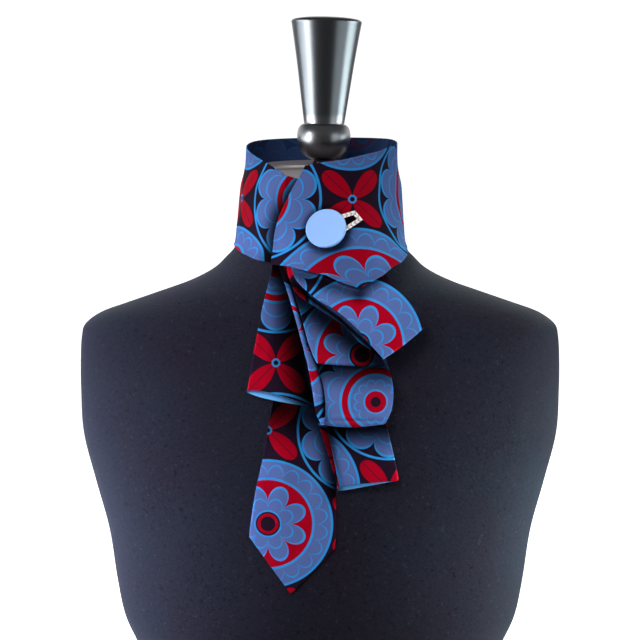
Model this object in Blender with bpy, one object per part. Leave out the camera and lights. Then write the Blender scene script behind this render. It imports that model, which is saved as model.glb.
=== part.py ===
"""A bow collar of folded printed silk, fastened with a button and loop, on a limbless dress form.

Metres, +Z up, the front faces -Y, and the origin is the middle of the form's flat base.
The tables below are in millimetres.
"""
import math
from collections import namedtuple

import bmesh
import bpy
from mathutils import Matrix, Vector

MM = 0.001

# Cloth
COLLAR_WALL = 1.6 * MM
STRIP_WALL = 1.2 * MM
POCKET_WALL = 1.0 * MM
SEAM_GAP = 0.3 * MM

# Points that a smooth curve gets between the rows of its table
CURVE_STEPS = 8
STRIP_STEPS = 2

# Dress form
FORM_SEGMENTS = 40
NECK_SLOPE = 0.118
NECK_SLOPE_FROM = 385 * MM
NECK_TOP = 420 * MM
NECK_LEAN_FROM = 360 * MM
NECK_LEAN = 0.018
PLATE_THICKNESS = 3.8 * MM
PLATE_EDGE = 1.2 * MM

# Finial, turned about its own leaning axis
FINIAL_BASE = 425.6 * MM
FINIAL_X = 2.6 * MM
FINIAL_LEAN = math.radians(1.4)
FINIAL_SEGMENTS = 28

# Button and loop
BUTTON_X = 5 * MM
BUTTON_Z = 374 * MM
BUTTON_RADIUS = 16.4 * MM
BUTTON_THICKNESS = 3 * MM
BUTTON_ROUNDING = 0.9 * MM
BUTTON_SEGMENTS = 32
BUTTON_STANDOFF = 3.6 * MM
BUTTON_YAW = math.radians(-14)
SHANK_RADIUS = 2.2 * MM
LOOP_WIDTH = 4 * MM
LOOP_THICKNESS = 1.3 * MM

# The form from base to neck: one row for each level section
Section = namedtuple("Section", "height half_width front back fullness")
FORM_SECTIONS = [
    Section(0, 128, 80, 72, 2.2),
    Section(7, 140, 86, 78, 2.2),
    Section(19, 150, 92, 84, 2.2),
    Section(31, 157, 96, 88, 2.2),
    Section(51, 165.5, 99, 92, 2.2),
    Section(82, 171.5, 101, 95, 2.2),
    Section(122, 177.5, 102.5, 98, 2.2),
    Section(163, 188.5, 103.5, 100.5, 2.2),
    Section(203, 198.5, 103, 102, 2.2),
    Section(240, 200.5, 100, 101.5, 2.2),
    Section(268, 200.5, 95.5, 99, 2.2),
    Section(284, 199.5, 92, 96, 2.2),
    Section(294, 196.5, 89, 93, 2.2),
    Section(303.5, 183.5, 86, 90, 2.15),
    Section(311, 163, 83.5, 86.5, 2.1),
    Section(320, 137, 80.5, 82, 2.05),
    Section(330, 109, 77, 77.5, 2.0),
    Section(340, 89.5, 73.5, 73, 2.0),
    Section(350, 78.5, 70.2, 69, 2.0),
    Section(360, 70.3, 67, 65.5, 2.0),
    Section(375, 68.2, 64, 63, 2.0),
    Section(400, 66.2, 61.5, 60, 2.0),
    Section(412, 63.4, 59, 57.5, 2.0),
    Section(420, 61.2, 57.4, 55.6, 2.0),
]

# The middle of the collar's wall lies this far off the form between two heights.
# Above them nothing carries it, and it has sections of its own.
COLLAR_CLEARANCE = 1.3
COLLAR_LIES_FROM = 311
COLLAR_LIES_TO = 400
COLLAR_TOP_SECTIONS = [
    Section(410, 66.5, 61.6, 60.2, 2.0),
    Section(420, 64.1, 60.4, 58.8, 2.0),
    Section(430, 62.8, 59.8, 57.9, 2.0),
    Section(455, 62.4, 59.6, 57.5, 2.0),
]

# Turned outline of the finial: a stem and a bulb, then a flared cup
Turned = namedtuple("Turned", "radius height")
FINIAL_BULB = [
    Turned(9, 0),
    Turned(9, 4.4),
    Turned(14.6, 7.2),
    Turned(18.9, 12),
    Turned(21.4, 18),
    Turned(22.2, 24),
    Turned(21.9, 28.6),
    Turned(20.6, 32),
    Turned(18.6, 34),
    Turned(16.8, 34.7),
]
FINIAL_CUP = [
    Turned(16.8, 35.6),
    Turned(19.7, 56),
    Turned(23.8, 85),
    Turned(26.7, 103.5),
    Turned(29.0, 118.2),
    Turned(29.3, 120.5),
    Turned(28.8, 122),
    Turned(27.4, 122.6),
    Turned(12, 122.9),
]

# The collar band runs once round the neck and on across the front.
# turn is in degrees from the front towards the wearer's right (the viewer's left).
Edge = namedtuple("Edge", "turn height")
BAND_START = -14
BAND_TOP = [
    Edge(-14, 411.5),
    Edge(10, 414),
    Edge(24, 417.6),
    Edge(32, 421.8),
    Edge(51, 430.6),
    Edge(80, 439.4),
    Edge(120, 446.8),
    Edge(180, 449.6),
    Edge(240, 448.5),
    Edge(270, 445),
    Edge(300, 441.2),
    Edge(313, 438),
    Edge(329, 434.7),
    Edge(345, 430.8),
    Edge(360, 428.6),
    Edge(372, 426),
    Edge(392, 422),
]
BAND_BOTTOM = [
    Edge(-14, 353),
    Edge(10, 351),
    Edge(25, 348.2),
    Edge(32, 348.5),
    Edge(40, 349.8),
    Edge(50, 352.8),
    Edge(70, 357.5),
    Edge(90, 361),
    Edge(180, 363),
    Edge(262, 361),
    Edge(278, 358.5),
    Edge(290, 355.5),
    Edge(305, 351.5),
    Edge(322, 345),
    Edge(334, 337),
    Edge(345.5, 329),
    Edge(351, 333),
    Edge(357.5, 339.2),
    Edge(367, 342.7),
    Edge(375.5, 345.7),
    Edge(387.5, 347.2),
    Edge(392, 347.4),
]
# Halvings of a range of turns that find the point of the front at a given x
HALVINGS = 30

# Where the band ends at the front, by the share of its height
BandEnd = namedtuple("BandEnd", "share turn")
BAND_ENDS = [
    BandEnd(0, 386.5),
    BandEnd(0.18, 389.5),
    BandEnd(0.35, 389.5),
    BandEnd(0.53, 387),
    BandEnd(0.72, 381.5),
    BandEnd(0.83, 377.8),
    BandEnd(1, 371.7),
]
# How far the band stands off the first layer: over that layer, then over the bow's folds
Standoff = namedtuple("Standoff", "turn layer bulge")
BAND_STANDOFFS = [
    Standoff(-14, 0, 0),
    Standoff(272, 0, 0),
    Standoff(286, 0.4, 0.8),
    Standoff(300, 1.2, 4),
    Standoff(315, 2.2, 8.5),
    Standoff(332, 2.8, 11),
    Standoff(350, 2.8, 11),
    Standoff(366, 2.8, 10.2),
    Standoff(377, 2.8, 7),
    Standoff(387, 2.8, 3.4),
    Standoff(392, 2.8, 3),
]
FLARE_STEP = 2
BULGE_FULL_AT = 349
BULGE_GONE_AT = 402
BAND_TURN_STEP = 6
BAND_ROWS = 8
BAND_END_STEPS = 9
FRONT_TURNS = (300.0, 392.0)

# Folded strips, top row first. x and z are the strip's two edges as seen from the front,
# and lift is how far the middle of its wall stands off the form.
StripRow = namedtuple("StripRow", "left_x left_z left_lift right_x right_z right_lift")
LONG_BLADE = [
    StripRow(-28, 343, 1.1, -2, 343, 1.1),
    StripRow(-28, 319, 1.1, 2, 319, 1.1),
    StripRow(-31, 280, 1.1, 4, 280, 1.1),
    StripRow(-37.5, 239, 1.1, 5.5, 239, 1.1),
    StripRow(-41.5, 217, 1.1, 8.5, 217, 1.1),
    StripRow(-46, 191.5, 1.1, 11.5, 191.5, 1.1),
    StripRow(-51, 169, 1.1, 12.5, 169, 1.1),
    StripRow(-55.5, 141, 1.1, 12.7, 139, 1.1),
    StripRow(-56.5, 130.5, 1.1, 12, 121.5, 1.1),
]
BLADE_TIP = StripRow(-23.8, 85.2, 1.1, -22.8, 85.0, 1.1)
TAIL_PLEAT = [
    StripRow(-2.5, 231, 2.55, 12, 231, 2.55),
    StripRow(-1.5, 222.5, 2.55, 13, 222.5, 2.55),
    StripRow(5.5, 200.5, 2.55, 20, 200.5, 2.55),
    StripRow(11.5, 180, 2.55, 26, 180, 2.55),
    StripRow(14.2, 169.5, 2.55, 28, 169.5, 2.55),
]
TAIL = [
    StripRow(9, 300, 3.6, 34, 300, 3.6),
    StripRow(8, 270, 4.2, 42, 270, 4.2),
    StripRow(6.5, 238, 4.8, 50, 237, 4.8),
    StripRow(5.7, 219.5, 4.8, 54, 216.5, 4.8),
    StripRow(9.5, 200.5, 4.9, 58, 199.5, 4.9),
    StripRow(13, 184, 5, 61, 186, 5),
    StripRow(14.3, 169, 5.1, 62.5, 176.5, 5.1),
]
SIDE_PANEL = [
    StripRow(-38.5, 350, 4.0, -14, 350, 3.6),
    StripRow(-39.5, 340, 3.8, -12, 341, 3.6),
    StripRow(-46.5, 311, 3.6, -4, 311.5, 3.6),
    StripRow(-52.5, 280, 3.9, 1.5, 280, 3.9),
    StripRow(-56.5, 256, 4.2, 4.5, 254, 4.2),
    StripRow(-58, 247, 4.3, 1.5, 234, 4.3),
]
LOWER_FRONT = [
    StripRow(-12, 300, 8.6, 38, 300, 8.6),
    StripRow(-8, 283.5, 9.4, 48, 284, 9.4),
    StripRow(-2.5, 268, 10.2, 54.5, 266, 10.2),
    StripRow(2.5, 253, 11, 57.3, 255, 11),
    StripRow(4.3, 240, 11.6, 57.8, 243, 11.6),
    StripRow(4.2, 230, 11.8, 56.3, 233, 11.8),
    StripRow(3, 224.5, 11.8, 52.5, 224.5, 11.8),
]
LOWER_BACK = [
    StripRow(0, 224, 8.2, 50, 224, 8.2),
    StripRow(-3.5, 232, 8.2, 49, 232, 8.2),
    StripRow(-6, 248, 8, 47, 248, 8),
    StripRow(-10.7, 272, 7.2, 41, 272, 7.2),
    StripRow(-18.8, 301.5, 6.2, 26, 301, 6.2),
    StripRow(-26, 325, 5.6, 6, 325, 5.6),
    StripRow(-33, 345, 5.8, -10, 345, 5.5),
    StripRow(-34.5, 350.5, 5.9, -12, 350.5, 5.5),
]
UPPER_FRONT = [
    StripRow(-27, 350, 7.2, 4, 350, 7.2),
    StripRow(-24, 337, 7.6, 13, 338, 7.8),
    StripRow(-20.6, 325, 9.2, 24, 325, 9.4),
    StripRow(-14.6, 305.5, 12, 38, 306, 12.4),
    StripRow(-8.7, 285, 14.3, 47, 284.5, 14.3),
    StripRow(-3, 272, 15.2, 51, 269.5, 15.2),
]
UPPER_BACK = [
    StripRow(-2, 272, 12.4, 50, 269.5, 12.4),
    StripRow(-4, 281, 12, 47, 279, 12),
    StripRow(-10, 298, 10.4, 40, 297, 10.4),
]
WING_FRONT = [
    StripRow(-24, 352, 10.3, 32, 352, 10.6),
    StripRow(-21.5, 340, 11.2, 51.5, 340, 12.6),
    StripRow(-15.5, 331, 12.4, 57.5, 332.5, 13.6),
    StripRow(-0.5, 319, 14, 64, 325.5, 14.2),
    StripRow(13, 311.5, 15.2, 69, 320, 14.6),
    StripRow(30.5, 296.5, 17.2, 76, 311.5, 15),
    StripRow(40.5, 284.5, 18.8, 80.5, 303.5, 15.4),
    StripRow(49, 275.5, 19.6, 82.5, 299, 15.6),
]
WING_BACK = [
    StripRow(48, 274.5, 16.9, 80.5, 299, 12.9),
    StripRow(40, 281, 16.6, 77.5, 304, 12.9),
    StripRow(30, 288, 15.8, 73, 310, 12.6),
    StripRow(19.5, 299, 14.8, 67, 317, 12.3),
    StripRow(-1, 312.5, 12.9, 60, 324.5, 12),
    StripRow(-18, 324, 11.2, 52, 332.5, 11.4),
    StripRow(-25, 337, 9.6, 44, 341, 10.2),
    StripRow(-27, 347, 9.1, 28, 349, 9.1),
]

# Density of the strips' walls
STRIP_COLUMNS = 7
PLEAT_COLUMNS = 3
FOLD_STEPS = 6
BLADE_TIP_STEPS = 4

# A flat tube is a plain wall down to its pocket, which opens towards the hem
TUBE_COLUMNS = 8
POCKET_LINES = 4
TUBE_EDGE = 2.3
TUBE_MARGIN = 0.03
LENS_START_POWER = 6
LOFT_POWER = 0.7

# Opening of a flat tube: how far its front hem rises and its back hem drops
Hem = namedtuple("Hem", "rise drop peak")
SIDE_PANEL_HEM = Hem(3.6, 2.2, 0.3)
TAIL_HEM = Hem(3.4, 0.6, 0.16)
SIDE_PANEL_THICKNESS = 4.6
TAIL_THICKNESS = 3.6

# How far the middle of each loop's fold hangs below its corners
LOWER_FOLD_SAG = 2.4
UPPER_FOLD_SAG = 0.6
WING_FOLD_SAG = 1.0

# Middle line of the loop's tape, seen from the front and measured from the button's centre
LoopPoint = namedtuple("LoopPoint", "x z steps")
LOOP_LINE = [
    LoopPoint(-4.7, 0, 1),
    LoopPoint(-3.2, 3.6, 1),
    LoopPoint(2, 6.2, 2),
    LoopPoint(12.2, 11.2, 3),
    LoopPoint(22.6, 14.2, 2),
    LoopPoint(27.2, 8.8, 3),
    LoopPoint(15, 1.2, 3),
    LoopPoint(3, -5.0, 1),
    LoopPoint(-3.2, -3.7, 1),
]


# General helpers

def blend(low, high, share):
    """Return the value at a share of the way from low to high."""
    return low + (high - low) * share


def smoothstep(low, high, value):
    """Rise from 0 at low to 1 at high, with level ends."""
    share = min(1.0, max(0.0, (value - low) / (high - low)))
    return share * share * (3 - 2 * share)


def spline(before, start, end, after, share):
    """Catmull-Rom value between start and end."""
    slope_in = (end - before) / 2
    slope_out = (after - start) / 2
    square = share * share
    cube = square * share
    return (
        start * (2 * cube - 3 * square + 1)
        + slope_in * (cube - 2 * square + share)
        + end * (3 * square - 2 * cube)
        + slope_out * (cube - square)
    )


def smooth_rows(rows, steps):
    """Put a smooth curve through every column of a table."""
    kind = type(rows[0])
    smoothed = []
    for index in range(len(rows) - 1):
        before = rows[max(index - 1, 0)]
        after = rows[min(index + 2, len(rows) - 1)]
        for step in range(steps):
            columns = zip(before, rows[index], rows[index + 1], after)
            smoothed.append(kind(*(spline(*column, step / steps) for column in columns)))
    smoothed.append(rows[-1])
    return smoothed


def row_at(rows, key, value):
    """Read a table between its rows, along its rising column named key."""
    keys = [getattr(row, key) for row in rows]
    if value <= keys[0]:
        return rows[0]
    for index in range(len(rows) - 1):
        if value <= keys[index + 1]:
            share = (value - keys[index]) / (keys[index + 1] - keys[index])
            pairs = zip(rows[index], rows[index + 1])
            return type(rows[0])(*(blend(low, high, share) for low, high in pairs))
    return rows[-1]


def make_material(name, color, roughness, metallic=0.0):
    material = bpy.data.materials.new(name)
    material.use_nodes = True
    shader = material.node_tree.nodes["Principled BSDF"]
    shader.inputs["Base Color"].default_value = (*color, 1)
    shader.inputs["Roughness"].default_value = roughness
    shader.inputs["Metallic"].default_value = metallic
    material.diffuse_color = (*color, 1)
    return material


def make_solid(name, points, faces, material):
    """Make one closed object whose faces point out."""
    mesh = bpy.data.meshes.new(name)
    mesh.from_pydata([tuple(point) for point in points], [], faces)
    shape = bmesh.new()
    shape.from_mesh(mesh)
    bmesh.ops.recalc_face_normals(shape, faces=shape.faces)
    shape.to_mesh(mesh)
    shape.free()
    mesh.shade_smooth()
    mesh.set_sharp_from_angle(angle=math.radians(50))
    mesh.materials.append(material)
    solid = bpy.data.objects.new(name, mesh)
    bpy.context.collection.objects.link(solid)
    return solid


def loft(name, rings, material):
    """Join closed rings of equal length into a solid with capped ends."""
    count = len(rings[0])
    points = [point for ring in rings for point in ring]
    faces = []
    for level in range(len(rings) - 1):
        for index in range(count):
            following = (index + 1) % count
            low = level * count
            high = low + count
            faces.append((low + index, low + following, high + following, high + index))
    faces.append(tuple(range(count)))
    last = (len(rings) - 1) * count
    faces.append(tuple(range(last, last + count)))
    return make_solid(name, points, faces, material)


def turned_solid(name, outline, segments, material):
    """Turn an outline of radii and heights about +Z."""
    turns = [2 * math.pi * index / segments for index in range(segments)]
    rings = [
        [(radius * math.cos(turn), radius * math.sin(turn), height) for turn in turns]
        for radius, height in outline
    ]
    return loft(name, rings, material)


# Dress form

FORM_CURVE = smooth_rows(FORM_SECTIONS, CURVE_STEPS)
COLLAR_CURVE = smooth_rows(
    [
        Section(
            row.height,
            row.half_width + COLLAR_CLEARANCE,
            row.front + COLLAR_CLEARANCE,
            row.back + COLLAR_CLEARANCE,
            row.fullness,
        )
        for row in FORM_SECTIONS
        if COLLAR_LIES_FROM <= row.height <= COLLAR_LIES_TO
    ]
    + COLLAR_TOP_SECTIONS,
    CURVE_STEPS,
)


def neck_lean(z):
    """Sideways lean of the neck towards the viewer's right."""
    return max(0.0, z - NECK_LEAN_FROM) * NECK_LEAN


def form_front(x, z):
    """Depth of the form's front surface, seen from the front."""
    row = row_at(FORM_CURVE, "height", z / MM)
    share = min(0.999, abs(x) / (row.half_width * MM))
    return -row.front * MM * (1 - share ** row.fullness) ** (1 / row.fullness)


def section_point(row, turn):
    """Point of a level section at a turn from the front towards the viewer's left."""
    sine = math.sin(turn)
    cosine = math.cos(turn)
    power = 2 / row.fullness
    depth = row.front if cosine > 0 else row.back
    x = -row.half_width * MM * math.copysign(abs(sine) ** power, sine)
    y = -depth * MM * math.copysign(abs(cosine) ** power, cosine)
    return x, y


def form_ring(row, scale=1.0, rise=0.0):
    """One ring of the form. The neck's top rings slope down to the front."""
    height = row.height * MM
    slope = NECK_SLOPE * smoothstep(NECK_SLOPE_FROM, NECK_TOP, height)
    ring = []
    for index in range(FORM_SEGMENTS):
        x, y = section_point(row, 2 * math.pi * index / FORM_SEGMENTS)
        point = (x * scale + neck_lean(height), y * scale, height + slope * y * scale + rise)
        ring.append(point)
    return ring


def make_form(material):
    return loft("form_body", [form_ring(row) for row in FORM_SECTIONS], material)


def make_neck_plate(material):
    top = FORM_SECTIONS[-1]
    inset = 1 - PLATE_EDGE / (top.half_width * MM)
    rises = (
        (inset, SEAM_GAP),
        (1.0, SEAM_GAP + PLATE_EDGE),
        (1.0, PLATE_THICKNESS + SEAM_GAP - PLATE_EDGE),
        (inset, PLATE_THICKNESS + SEAM_GAP),
    )
    rings = [form_ring(top, scale, rise) for scale, rise in rises]
    return loft("neck_plate", rings, material)


def make_finial(material):
    """Turn a stem, a bulb and a flared cup."""
    outline = [(row.radius * MM, row.height * MM) for row in FINIAL_BULB + FINIAL_CUP]
    finial = turned_solid("finial", outline, FINIAL_SEGMENTS, material)
    finial.location = (FINIAL_X, 0, FINIAL_BASE)
    finial.rotation_euler = (0, FINIAL_LEAN, 0)
    return finial


# Cloth walls

def grid_normals(grid):
    """Normals of a grid of points, facing the viewer on the bow's front layers."""
    rows = len(grid)
    columns = len(grid[0])
    normals = []
    for i in range(rows):
        line = []
        for j in range(columns):
            down = grid[min(i + 1, rows - 1)][j] - grid[max(i - 1, 0)][j]
            across = grid[i][min(j + 1, columns - 1)] - grid[i][max(j - 1, 0)]
            line.append(down.cross(across).normalized())
        normals.append(line)
    return normals


def cloth_wall(name, grid, wall, material):
    """Thicken a grid of points to a closed wall."""
    rows = len(grid)
    columns = len(grid[0])
    normals = grid_normals(grid)
    points = []
    for side in (0.5, -0.5):
        for line, line_normals in zip(grid, normals):
            for point, normal in zip(line, line_normals):
                points.append(point + normal * wall * side)
    back = rows * columns
    faces = []
    for i in range(rows - 1):
        for j in range(columns - 1):
            corner = i * columns + j
            quad = (corner, corner + 1, corner + columns + 1, corner + columns)
            faces.append(quad)
            faces.append(tuple(back + index for index in reversed(quad)))
    rim = [j for j in range(columns)]
    rim += [i * columns + columns - 1 for i in range(1, rows)]
    rim += [(rows - 1) * columns + j for j in range(columns - 2, -1, -1)]
    rim += [i * columns for i in range(rows - 2, 0, -1)]
    for index, corner in enumerate(rim):
        following = rim[(index + 1) % len(rim)]
        faces.append((corner, back + corner, back + following, following))
    return make_solid(name, points, faces, material)


def strip_point(row, across, extra=0.0, rise=0.0):
    """Point of a strip at a share of its width, extra millimetres further off the form."""
    x = blend(row.left_x, row.right_x, across) * MM
    z = (blend(row.left_z, row.right_z, across) + rise) * MM
    lift = (blend(row.left_lift, row.right_lift, across) + extra) * MM
    return Vector((x, form_front(x, z) - lift, z))


def strip_grid(rows, columns):
    return [[strip_point(row, j / columns) for j in range(columns + 1)] for row in rows]


def round_fold(last, before, first, columns, steps, sag):
    """Rows of a soft fold from a front layer's last row to a back layer's first row."""
    grid = []
    for step in range(1, steps):
        angle = math.pi * step / steps
        share = (1 - math.cos(angle)) / 2
        line = []
        for j in range(columns + 1):
            across = j / columns
            step_x = blend(last.left_x - before.left_x, last.right_x - before.right_x, across)
            step_z = blend(last.left_z - before.left_z, last.right_z - before.right_z, across)
            length = math.hypot(step_x, step_z)
            front_lift = blend(last.left_lift, last.right_lift, across)
            back_lift = blend(first.left_lift, first.right_lift, across)
            radius = (front_lift - back_lift) / 2
            reach = (radius + sag * math.sin(math.pi * across)) * math.sin(angle)
            x = blend(
                blend(last.left_x, last.right_x, across),
                blend(first.left_x, first.right_x, across),
                share,
            )
            z = blend(
                blend(last.left_z, last.right_z, across),
                blend(first.left_z, first.right_z, across),
                share,
            )
            x = (x + step_x / length * reach) * MM
            z = (z + step_z / length * reach) * MM
            lift = blend(front_lift, back_lift, share) * MM
            line.append(Vector((x, form_front(x, z) - lift, z)))
        grid.append(line)
    return grid


def folded_loop(name, front, back, sag, material):
    """A strip that runs down, turns under in a soft fold and runs up behind itself."""
    front_rows = smooth_rows(front, STRIP_STEPS)
    back_rows = smooth_rows(back, STRIP_STEPS)
    grid = strip_grid(front_rows, STRIP_COLUMNS)
    grid += round_fold(front[-1], front_rows[-2], back[0], STRIP_COLUMNS, FOLD_STEPS, sag)
    grid += strip_grid(back_rows, STRIP_COLUMNS)
    return cloth_wall(name, grid, STRIP_WALL, material)


def flat_tube(name, rows, hem, thickness, material):
    """A strip folded to a flat tube and open at its hem, where its two layers part."""
    lines = smooth_rows(rows, STRIP_STEPS)
    hem_line = len(lines) - 1
    peak_power = math.log(0.5) / math.log(hem.peak)

    def layer(line, across, side, inset):
        """A point on one side of the tube, inset millimetres inside its outer face."""
        opened = smoothstep(hem_line - POCKET_LINES, hem_line, line)
        loft_share = math.sin(math.pi * across) ** LOFT_POWER
        open_thickness = blend(TUBE_EDGE, thickness, loft_share * opened)
        half = blend(STRIP_WALL / MM, open_thickness, opened) / 2
        lens = math.sin(math.pi * across ** peak_power) * (line / hem_line) ** LENS_START_POWER
        rise = (hem.rise if side > 0 else -hem.drop) * lens
        return strip_point(lines[line], across, side * (half - inset), rise)

    def ring(line, inset, margin):
        shares = [blend(margin, 1 - margin, j / TUBE_COLUMNS) for j in range(TUBE_COLUMNS + 1)]
        front = [layer(line, share, 1, inset) for share in shares]
        behind = [layer(line, share, -1, inset) for share in reversed(shares)]
        return front + behind

    outer = [ring(line, 0, 0) for line in range(len(lines))]
    pocket_lines = range(hem_line, hem_line - POCKET_LINES, -1)
    inner = [ring(line, POCKET_WALL / MM, TUBE_MARGIN) for line in pocket_lines]
    return loft(name, outer + inner, material)


def make_long_blade(material):
    """The pointed blade: smooth sides, then straight edges to its tip."""
    rows = smooth_rows(LONG_BLADE, STRIP_STEPS)
    for step in range(1, BLADE_TIP_STEPS + 1):
        pairs = zip(LONG_BLADE[-1], BLADE_TIP)
        rows.append(StripRow(*(blend(start, tip, step / BLADE_TIP_STEPS) for start, tip in pairs)))
    return cloth_wall("long_blade", strip_grid(rows, STRIP_COLUMNS), STRIP_WALL, material)


def make_tail_pleat(material):
    grid = strip_grid(smooth_rows(TAIL_PLEAT, STRIP_STEPS), PLEAT_COLUMNS)
    return cloth_wall("tail_pleat", grid, STRIP_WALL, material)


# Collar band

def band_base(turn, z):
    """Point and outward direction of the first layer's middle, level with z."""
    row = row_at(COLLAR_CURVE, "height", z / MM)
    below = row_at(COLLAR_CURVE, "height", z / MM - FLARE_STEP)
    angle = math.radians(turn)
    x, y = section_point(row, angle)
    depth = row.front if math.cos(angle) > 0 else row.back
    outward = Vector((-math.sin(angle) * depth, -math.cos(angle) * row.half_width, 0)).normalized()
    flare = max(0.0, below.half_width - row.half_width) / FLARE_STEP
    return Vector((x + neck_lean(z), y, z)), outward, flare


def band_point(turn, z, out=0.0):
    """Middle of the band's wall at a turn and height, moved out by a distance."""
    point, outward, flare = band_base(turn, z)
    standoff = row_at(BAND_STANDOFFS, "turn", turn)
    bulge = standoff.bulge * (1 - smoothstep(BULGE_FULL_AT, BULGE_GONE_AT, z / MM))
    spread = COLLAR_CLEARANCE * MM * (math.hypot(1, flare) - 1)
    return point + outward * ((standoff.layer + bulge) * MM + spread + out)


def band_front(x, z, out):
    """Point of the overlapping front at x and z, out from the middle of its wall."""
    low, high = FRONT_TURNS
    for _ in range(HALVINGS):
        middle = (low + high) / 2
        if band_point(middle, z, out).x > x:
            low = middle
        else:
            high = middle
    return band_point((low + high) / 2, z, out)


def band_grid():
    """Grid of the band, from its bottom edge up and from its hidden end round to the front."""
    tip = min(BAND_BOTTOM, key=lambda edge: edge.height).turn
    tops = smooth_rows(BAND_TOP, CURVE_STEPS)
    ends = smooth_rows(BAND_ENDS, CURVE_STEPS)
    turns = []
    turn = BAND_START
    while turn < tip - BAND_TURN_STEP / 2:
        turns.append(turn)
        turn += BAND_TURN_STEP
    turns.append(tip)
    end_shares = [(step + 1) / BAND_END_STEPS for step in range(BAND_END_STEPS)]
    grid = []
    for i in range(BAND_ROWS + 1):
        share = 1 - i / BAND_ROWS
        end_turn = row_at(ends, "share", share).turn
        line_turns = turns + [blend(tip, end_turn, end_share) for end_share in end_shares]
        line = []
        for turn in reversed(line_turns):
            low = row_at(BAND_BOTTOM, "turn", turn).height
            high = row_at(tops, "turn", turn).height
            line.append(band_point(turn, blend(low, high, share) * MM))
        grid.append(line)
    return grid


def make_button(material):
    """A flat round button on its shank."""
    seat = band_front(BUTTON_X, BUTTON_Z, COLLAR_WALL / 2)
    reach = BUTTON_RADIUS * 0.8
    upward = band_front(BUTTON_X, BUTTON_Z + reach, 0) - band_front(BUTTON_X, BUTTON_Z - reach, 0)
    sideways = band_front(BUTTON_X + reach, BUTTON_Z, 0) - band_front(BUTTON_X - reach, BUTTON_Z, 0)
    outward = sideways.cross(upward).normalized()
    shank_length = BUTTON_STANDOFF - SEAM_GAP * 1.5
    profile = [
        (SHANK_RADIUS, -shank_length),
        (SHANK_RADIUS, 0.0),
        (BUTTON_RADIUS - BUTTON_ROUNDING, 0.0),
        (BUTTON_RADIUS - BUTTON_ROUNDING * 0.3, BUTTON_ROUNDING * 0.3),
        (BUTTON_RADIUS, BUTTON_ROUNDING),
        (BUTTON_RADIUS, BUTTON_THICKNESS - BUTTON_ROUNDING),
        (BUTTON_RADIUS - BUTTON_ROUNDING * 0.3, BUTTON_THICKNESS - BUTTON_ROUNDING * 0.3),
        (BUTTON_RADIUS - BUTTON_ROUNDING, BUTTON_THICKNESS),
    ]
    button = turned_solid("button", profile, BUTTON_SEGMENTS, material)
    facing = Matrix.Rotation(BUTTON_YAW, 4, "Z") @ outward.to_track_quat("Z", "Y").to_matrix().to_4x4()
    button.matrix_world = Matrix.Translation(seat + outward * BUTTON_STANDOFF) @ facing
    return button


def make_button_loop(material):
    """A flat tape round the button's shank, with a mitred free end."""
    corners = []
    for index, start in enumerate(LOOP_LINE):
        end = LOOP_LINE[(index + 1) % len(LOOP_LINE)]
        for step in range(start.steps):
            share = step / start.steps
            corners.append(Vector((blend(start.x, end.x, share), blend(start.z, end.z, share))) * MM)
    rings = []
    for index, corner in enumerate(corners):
        before = (corner - corners[index - 1]).normalized()
        after = (corners[(index + 1) % len(corners)] - corner).normalized()
        tangent = (before + after).normalized()
        side = Vector((tangent.y, -tangent.x))
        mitre = 1 / max(0.5, side.dot(Vector((before.y, -before.x))))
        ring = []
        for way, height in ((1, 0), (1, 1), (-1, 1), (-1, 0)):
            spot = corner + side * mitre * way * LOOP_WIDTH / 2
            out = COLLAR_WALL / 2 + SEAM_GAP * 1.4 + height * LOOP_THICKNESS
            ring.append(band_front(BUTTON_X + spot.x, BUTTON_Z + spot.y, out))
        rings.append(ring)
    points = [point for ring in rings for point in ring]
    faces = []
    count = len(rings)
    for index in range(count):
        for edge in range(4):
            following = (edge + 1) % 4
            here = index * 4
            there = (index + 1) % count * 4
            faces.append((here + edge, here + following, there + following, there + edge))
    return make_solid("button_loop", points, faces, material)


def main():
    for scene_object in list(bpy.data.objects):
        bpy.data.objects.remove(scene_object, do_unlink=True)

    jersey = make_material("form_jersey", (0.045, 0.04, 0.06), 0.85)
    chrome = make_material("plate_chrome", (0.62, 0.58, 0.56), 0.25, 1.0)
    gloss = make_material("finial_gloss", (0.02, 0.02, 0.02), 0.12)
    silk = make_material("printed_silk", (0.22, 0.28, 0.55), 0.45)
    blue = make_material("button_blue", (0.35, 0.58, 1.0), 0.35)
    tape = make_material("loop_tape", (0.8, 0.72, 0.74), 0.6)

    make_form(jersey)
    make_neck_plate(chrome)
    make_finial(gloss)

    cloth_wall("collar_band", band_grid(), COLLAR_WALL, silk)
    make_long_blade(silk)
    make_tail_pleat(silk)
    flat_tube("tail", TAIL, TAIL_HEM, TAIL_THICKNESS, silk)
    flat_tube("side_panel", SIDE_PANEL, SIDE_PANEL_HEM, SIDE_PANEL_THICKNESS, silk)
    folded_loop("lower_loop", LOWER_FRONT, LOWER_BACK, LOWER_FOLD_SAG, silk)
    folded_loop("upper_loop", UPPER_FRONT, UPPER_BACK, UPPER_FOLD_SAG, silk)
    folded_loop("wing_loop", WING_FRONT, WING_BACK, WING_FOLD_SAG, silk)

    make_button(blue)
    make_button_loop(tape)


main()
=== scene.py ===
"""Looks of a bow collar of folded printed silk, worn by a limbless dress form.

Tables and shapes are in millimetres, as in the part's source, and meshes are made in metres.
"""

import math
from collections import namedtuple

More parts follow.
